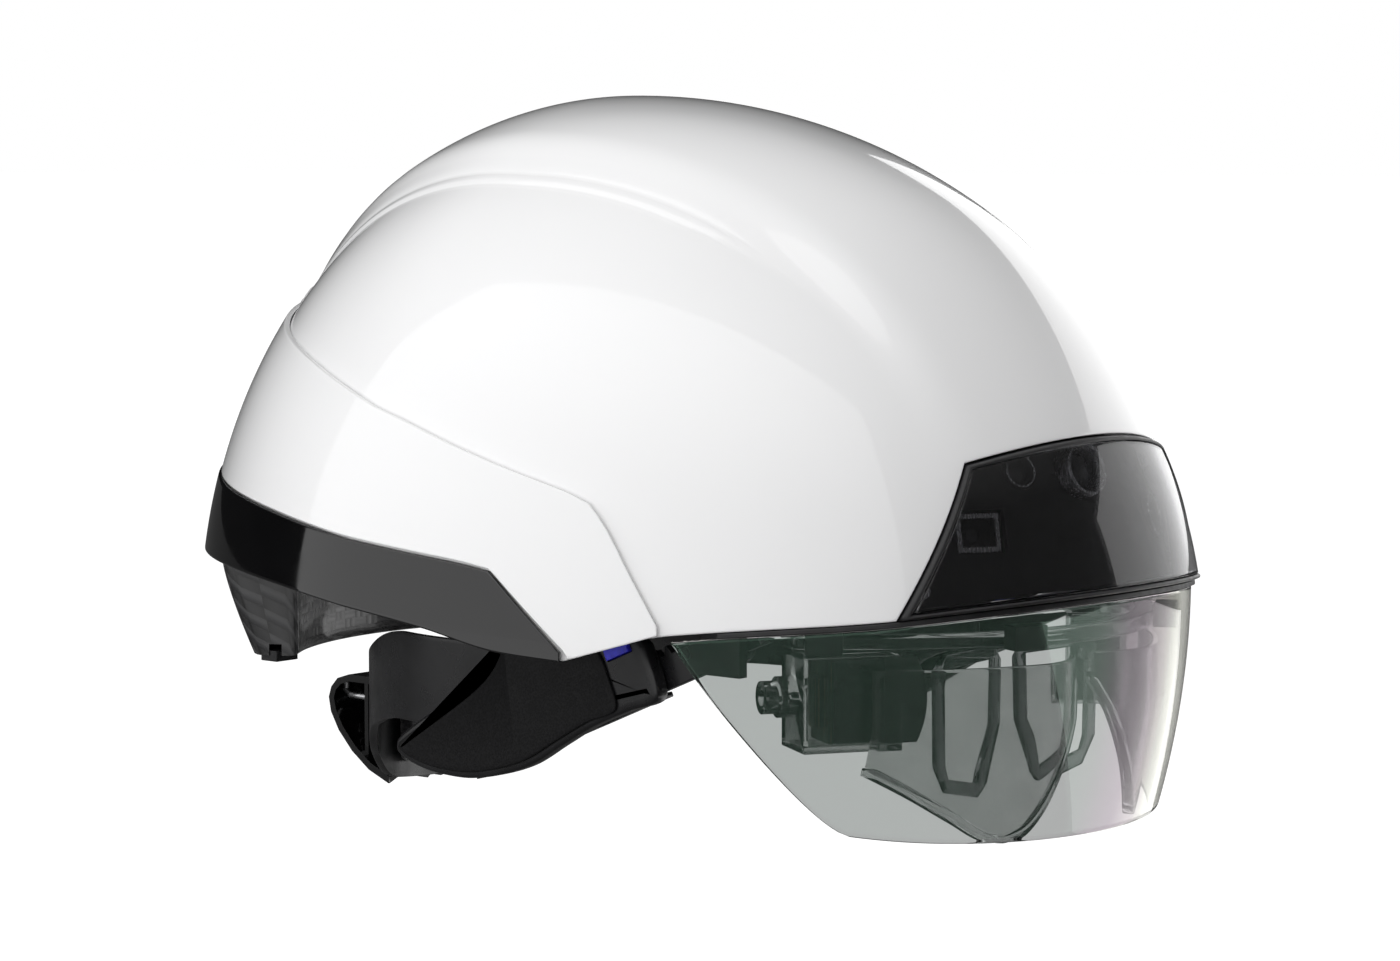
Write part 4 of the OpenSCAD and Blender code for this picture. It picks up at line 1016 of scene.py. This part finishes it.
def nape_band():
    t = np.linspace(130, -130, 200)
    v = np.linspace(0, 1, 26)[:, None]
    piece = make("nape_band", *slab(nape_wall(t, v, 0), nape_wall(t, v, -2), 0.5), "satin_black", None)

    def through_back(p):
        return np.stack([p[:, 0], REAR_Y - 1 + p[:, 2], RACK_Z + p[:, 1]], -1)
    shaft_hole = lathe([(2.56, -10), (2.56, 10)], 48, through_back)
    carve(piece, [lens_hole(1), lens_hole(-1), shaft_hole])
    dress(piece, "satin_black", "cradle", ["occipital_band"])


# ---- battery ----


def battery():
    degrees, z = np.meshgrid(np.linspace(90 - PACK_REACH, 90 + PACK_REACH, 110),
                             np.linspace(-PACK_DROP, PACK_TOP, 24))
    tuck = 9 * ((PACK_TOP - z) / (PACK_TOP + PACK_DROP)) ** 1.3
    t = np.radians(degrees)

    def wall(off):
        return np.stack([(HALF_W + off) * np.cos(t), (REAR + off) * np.sin(t), z], -1)
    points, faces = slab(wall(-1.5 - tuck), wall(-1.5 - PACK_T), 1.6)
    uv = slab_map(np.stack([degrees * 2.0, z], -1), len(points), PACK_T)
    piece = make("battery_skin", points, faces, "carbon", None, uv=uv)
    slots = []
    for x in (-RAIL_X, RAIL_X):
        slots.append(boxed((x - 2.1, 60, PACK_TOP - 5.4), (x + 2.1, 109, PACK_TOP + 1)))
        slots.append(boxed((x - 4.1, 60, PACK_TOP - 5.4), (x + 4.1, 109, PACK_TOP - 2.4)))
        latch_x = math.copysign(LATCH_X, x)
        slots.append(boxed((latch_x - 4.4, 84.4, -PACK_DROP - 1), (latch_x + 4.4, 91.2, -PACK_DROP + 3.2)))
    carve(piece, slots)
    dress(piece, "carbon", "battery", ["battery_case"])


# ---- stage ----


def emitter(name, centre, facing, width, height, radiance, mirrored=True):
    """A softbox: a rectangle of light of a given radiance, unseen by the camera. A fill light isn't
    mirrored in glossy surfaces either."""
    light = bpy.data.lights.new(name, "AREA")
    light.shape, light.size, light.size_y = "RECTANGLE", width, height
    light.energy = radiance * width * height * math.pi
    lamp = bpy.data.objects.new(name, light)
    lamp.location = centre
    lamp.rotation_euler = (-Vector(facing)).to_track_quat("Z", "Y").to_euler()
    lamp.visible_camera = False
    lamp.visible_glossy = mirrored
    scene.collection.objects.link(lamp)


def seen_directly(nodes, links):
    """1 where a ray comes straight from the viewer or through glass, and 0 where it lights or
    reflects."""
    path = nodes.new("ShaderNodeLightPath")
    either = nodes.new("ShaderNodeMath")
    either.operation = "MAXIMUM"
    links.new(path.outputs["Is Camera Ray"], either.inputs[0])
    links.new(path.outputs["Is Transmission Ray"], either.inputs[1])
    return either.outputs[0]


def backdrop():
    """A white background that lights the hat only softly, from above."""
    world = bpy.data.worlds.new("studio")
    scene.world = world
    world.use_nodes = True
    nodes, links = world.node_tree.nodes, world.node_tree.links
    rise = nodes.new("ShaderNodeSeparateXYZ")
    links.new(nodes.new("ShaderNodeTexCoord").outputs["Generated"], rise.inputs[0])
    glow = nodes.new("ShaderNodeMapRange")
    for socket, value in {"From Min": 0.5, "From Max": 0.95, "To Min": 0.01, "To Max": 0.9}.items():
        glow.inputs[socket].default_value = value
    links.new(rise.outputs["Z"], glow.inputs["Value"])
    choice = nodes.new("ShaderNodeMix")
    links.new(seen_directly(nodes, links), choice.inputs["Factor"])
    links.new(glow.outputs[0], choice.inputs["A"])
    choice.inputs["B"].default_value = 1
    links.new(choice.outputs[0], nodes["Background"].inputs["Strength"])
    nodes["Background"].inputs["Color"].default_value = (1, 1, 1, 1)


def floor():
    """A plain pale floor, well below the hat, as white as the background."""
    reach, z = 30, -0.2
    mesh = bpy.data.meshes.new("floor")
    mesh.from_pydata([(-reach, -reach, z), (reach, -reach, z), (reach, reach, z), (-reach, reach, z)], [],
                     [(0, 1, 2, 3)])
    paint = Finish("floor_paint", (0.12, 0.12, 0.12), 0.9, Emission_Color=(1, 1, 1, 1))
    paint.links.new(seen_directly(paint.nodes, paint.links), paint.shader.inputs["Emission Strength"])
    mesh.materials.append(paint.vary(paint.noise(400), 0.005).material)
    plane = bpy.data.objects.new("floor", mesh)
    scene.collection.objects.link(plane)


def stage():
    backdrop()
    floor()
    emitter("softbox_right", (-1.3, 0.05, 1.45), (1, 0, 0), 4.1, 3.3, 0.95)
    emitter("softbox_left", (1.3, -0.54, 0.4), (-1, 0, 0), 2.32, 0.8, 1.6)
    emitter("bounce_left", (0.85, -0.75, -0.19), (0, 0, 1), 1.4, 1.5, 1.3)
    emitter("fill_side", (-1.5, -0.3, 0.0), (1, 0.2, 0.05), 1.6, 0.7, 1.9, False)
    emitter("fill_rear", (-0.9, 1.3, 0.2), (0.6, -0.78, -0.05), 1.4, 1.2, 1.7, False)


# ---- everything ----

dress_nodes()
shell()
window()
sensors()
visor()
combiners()
optics_rail()
suspension()
pads()
paddles()
nape_band()
battery()
stage()
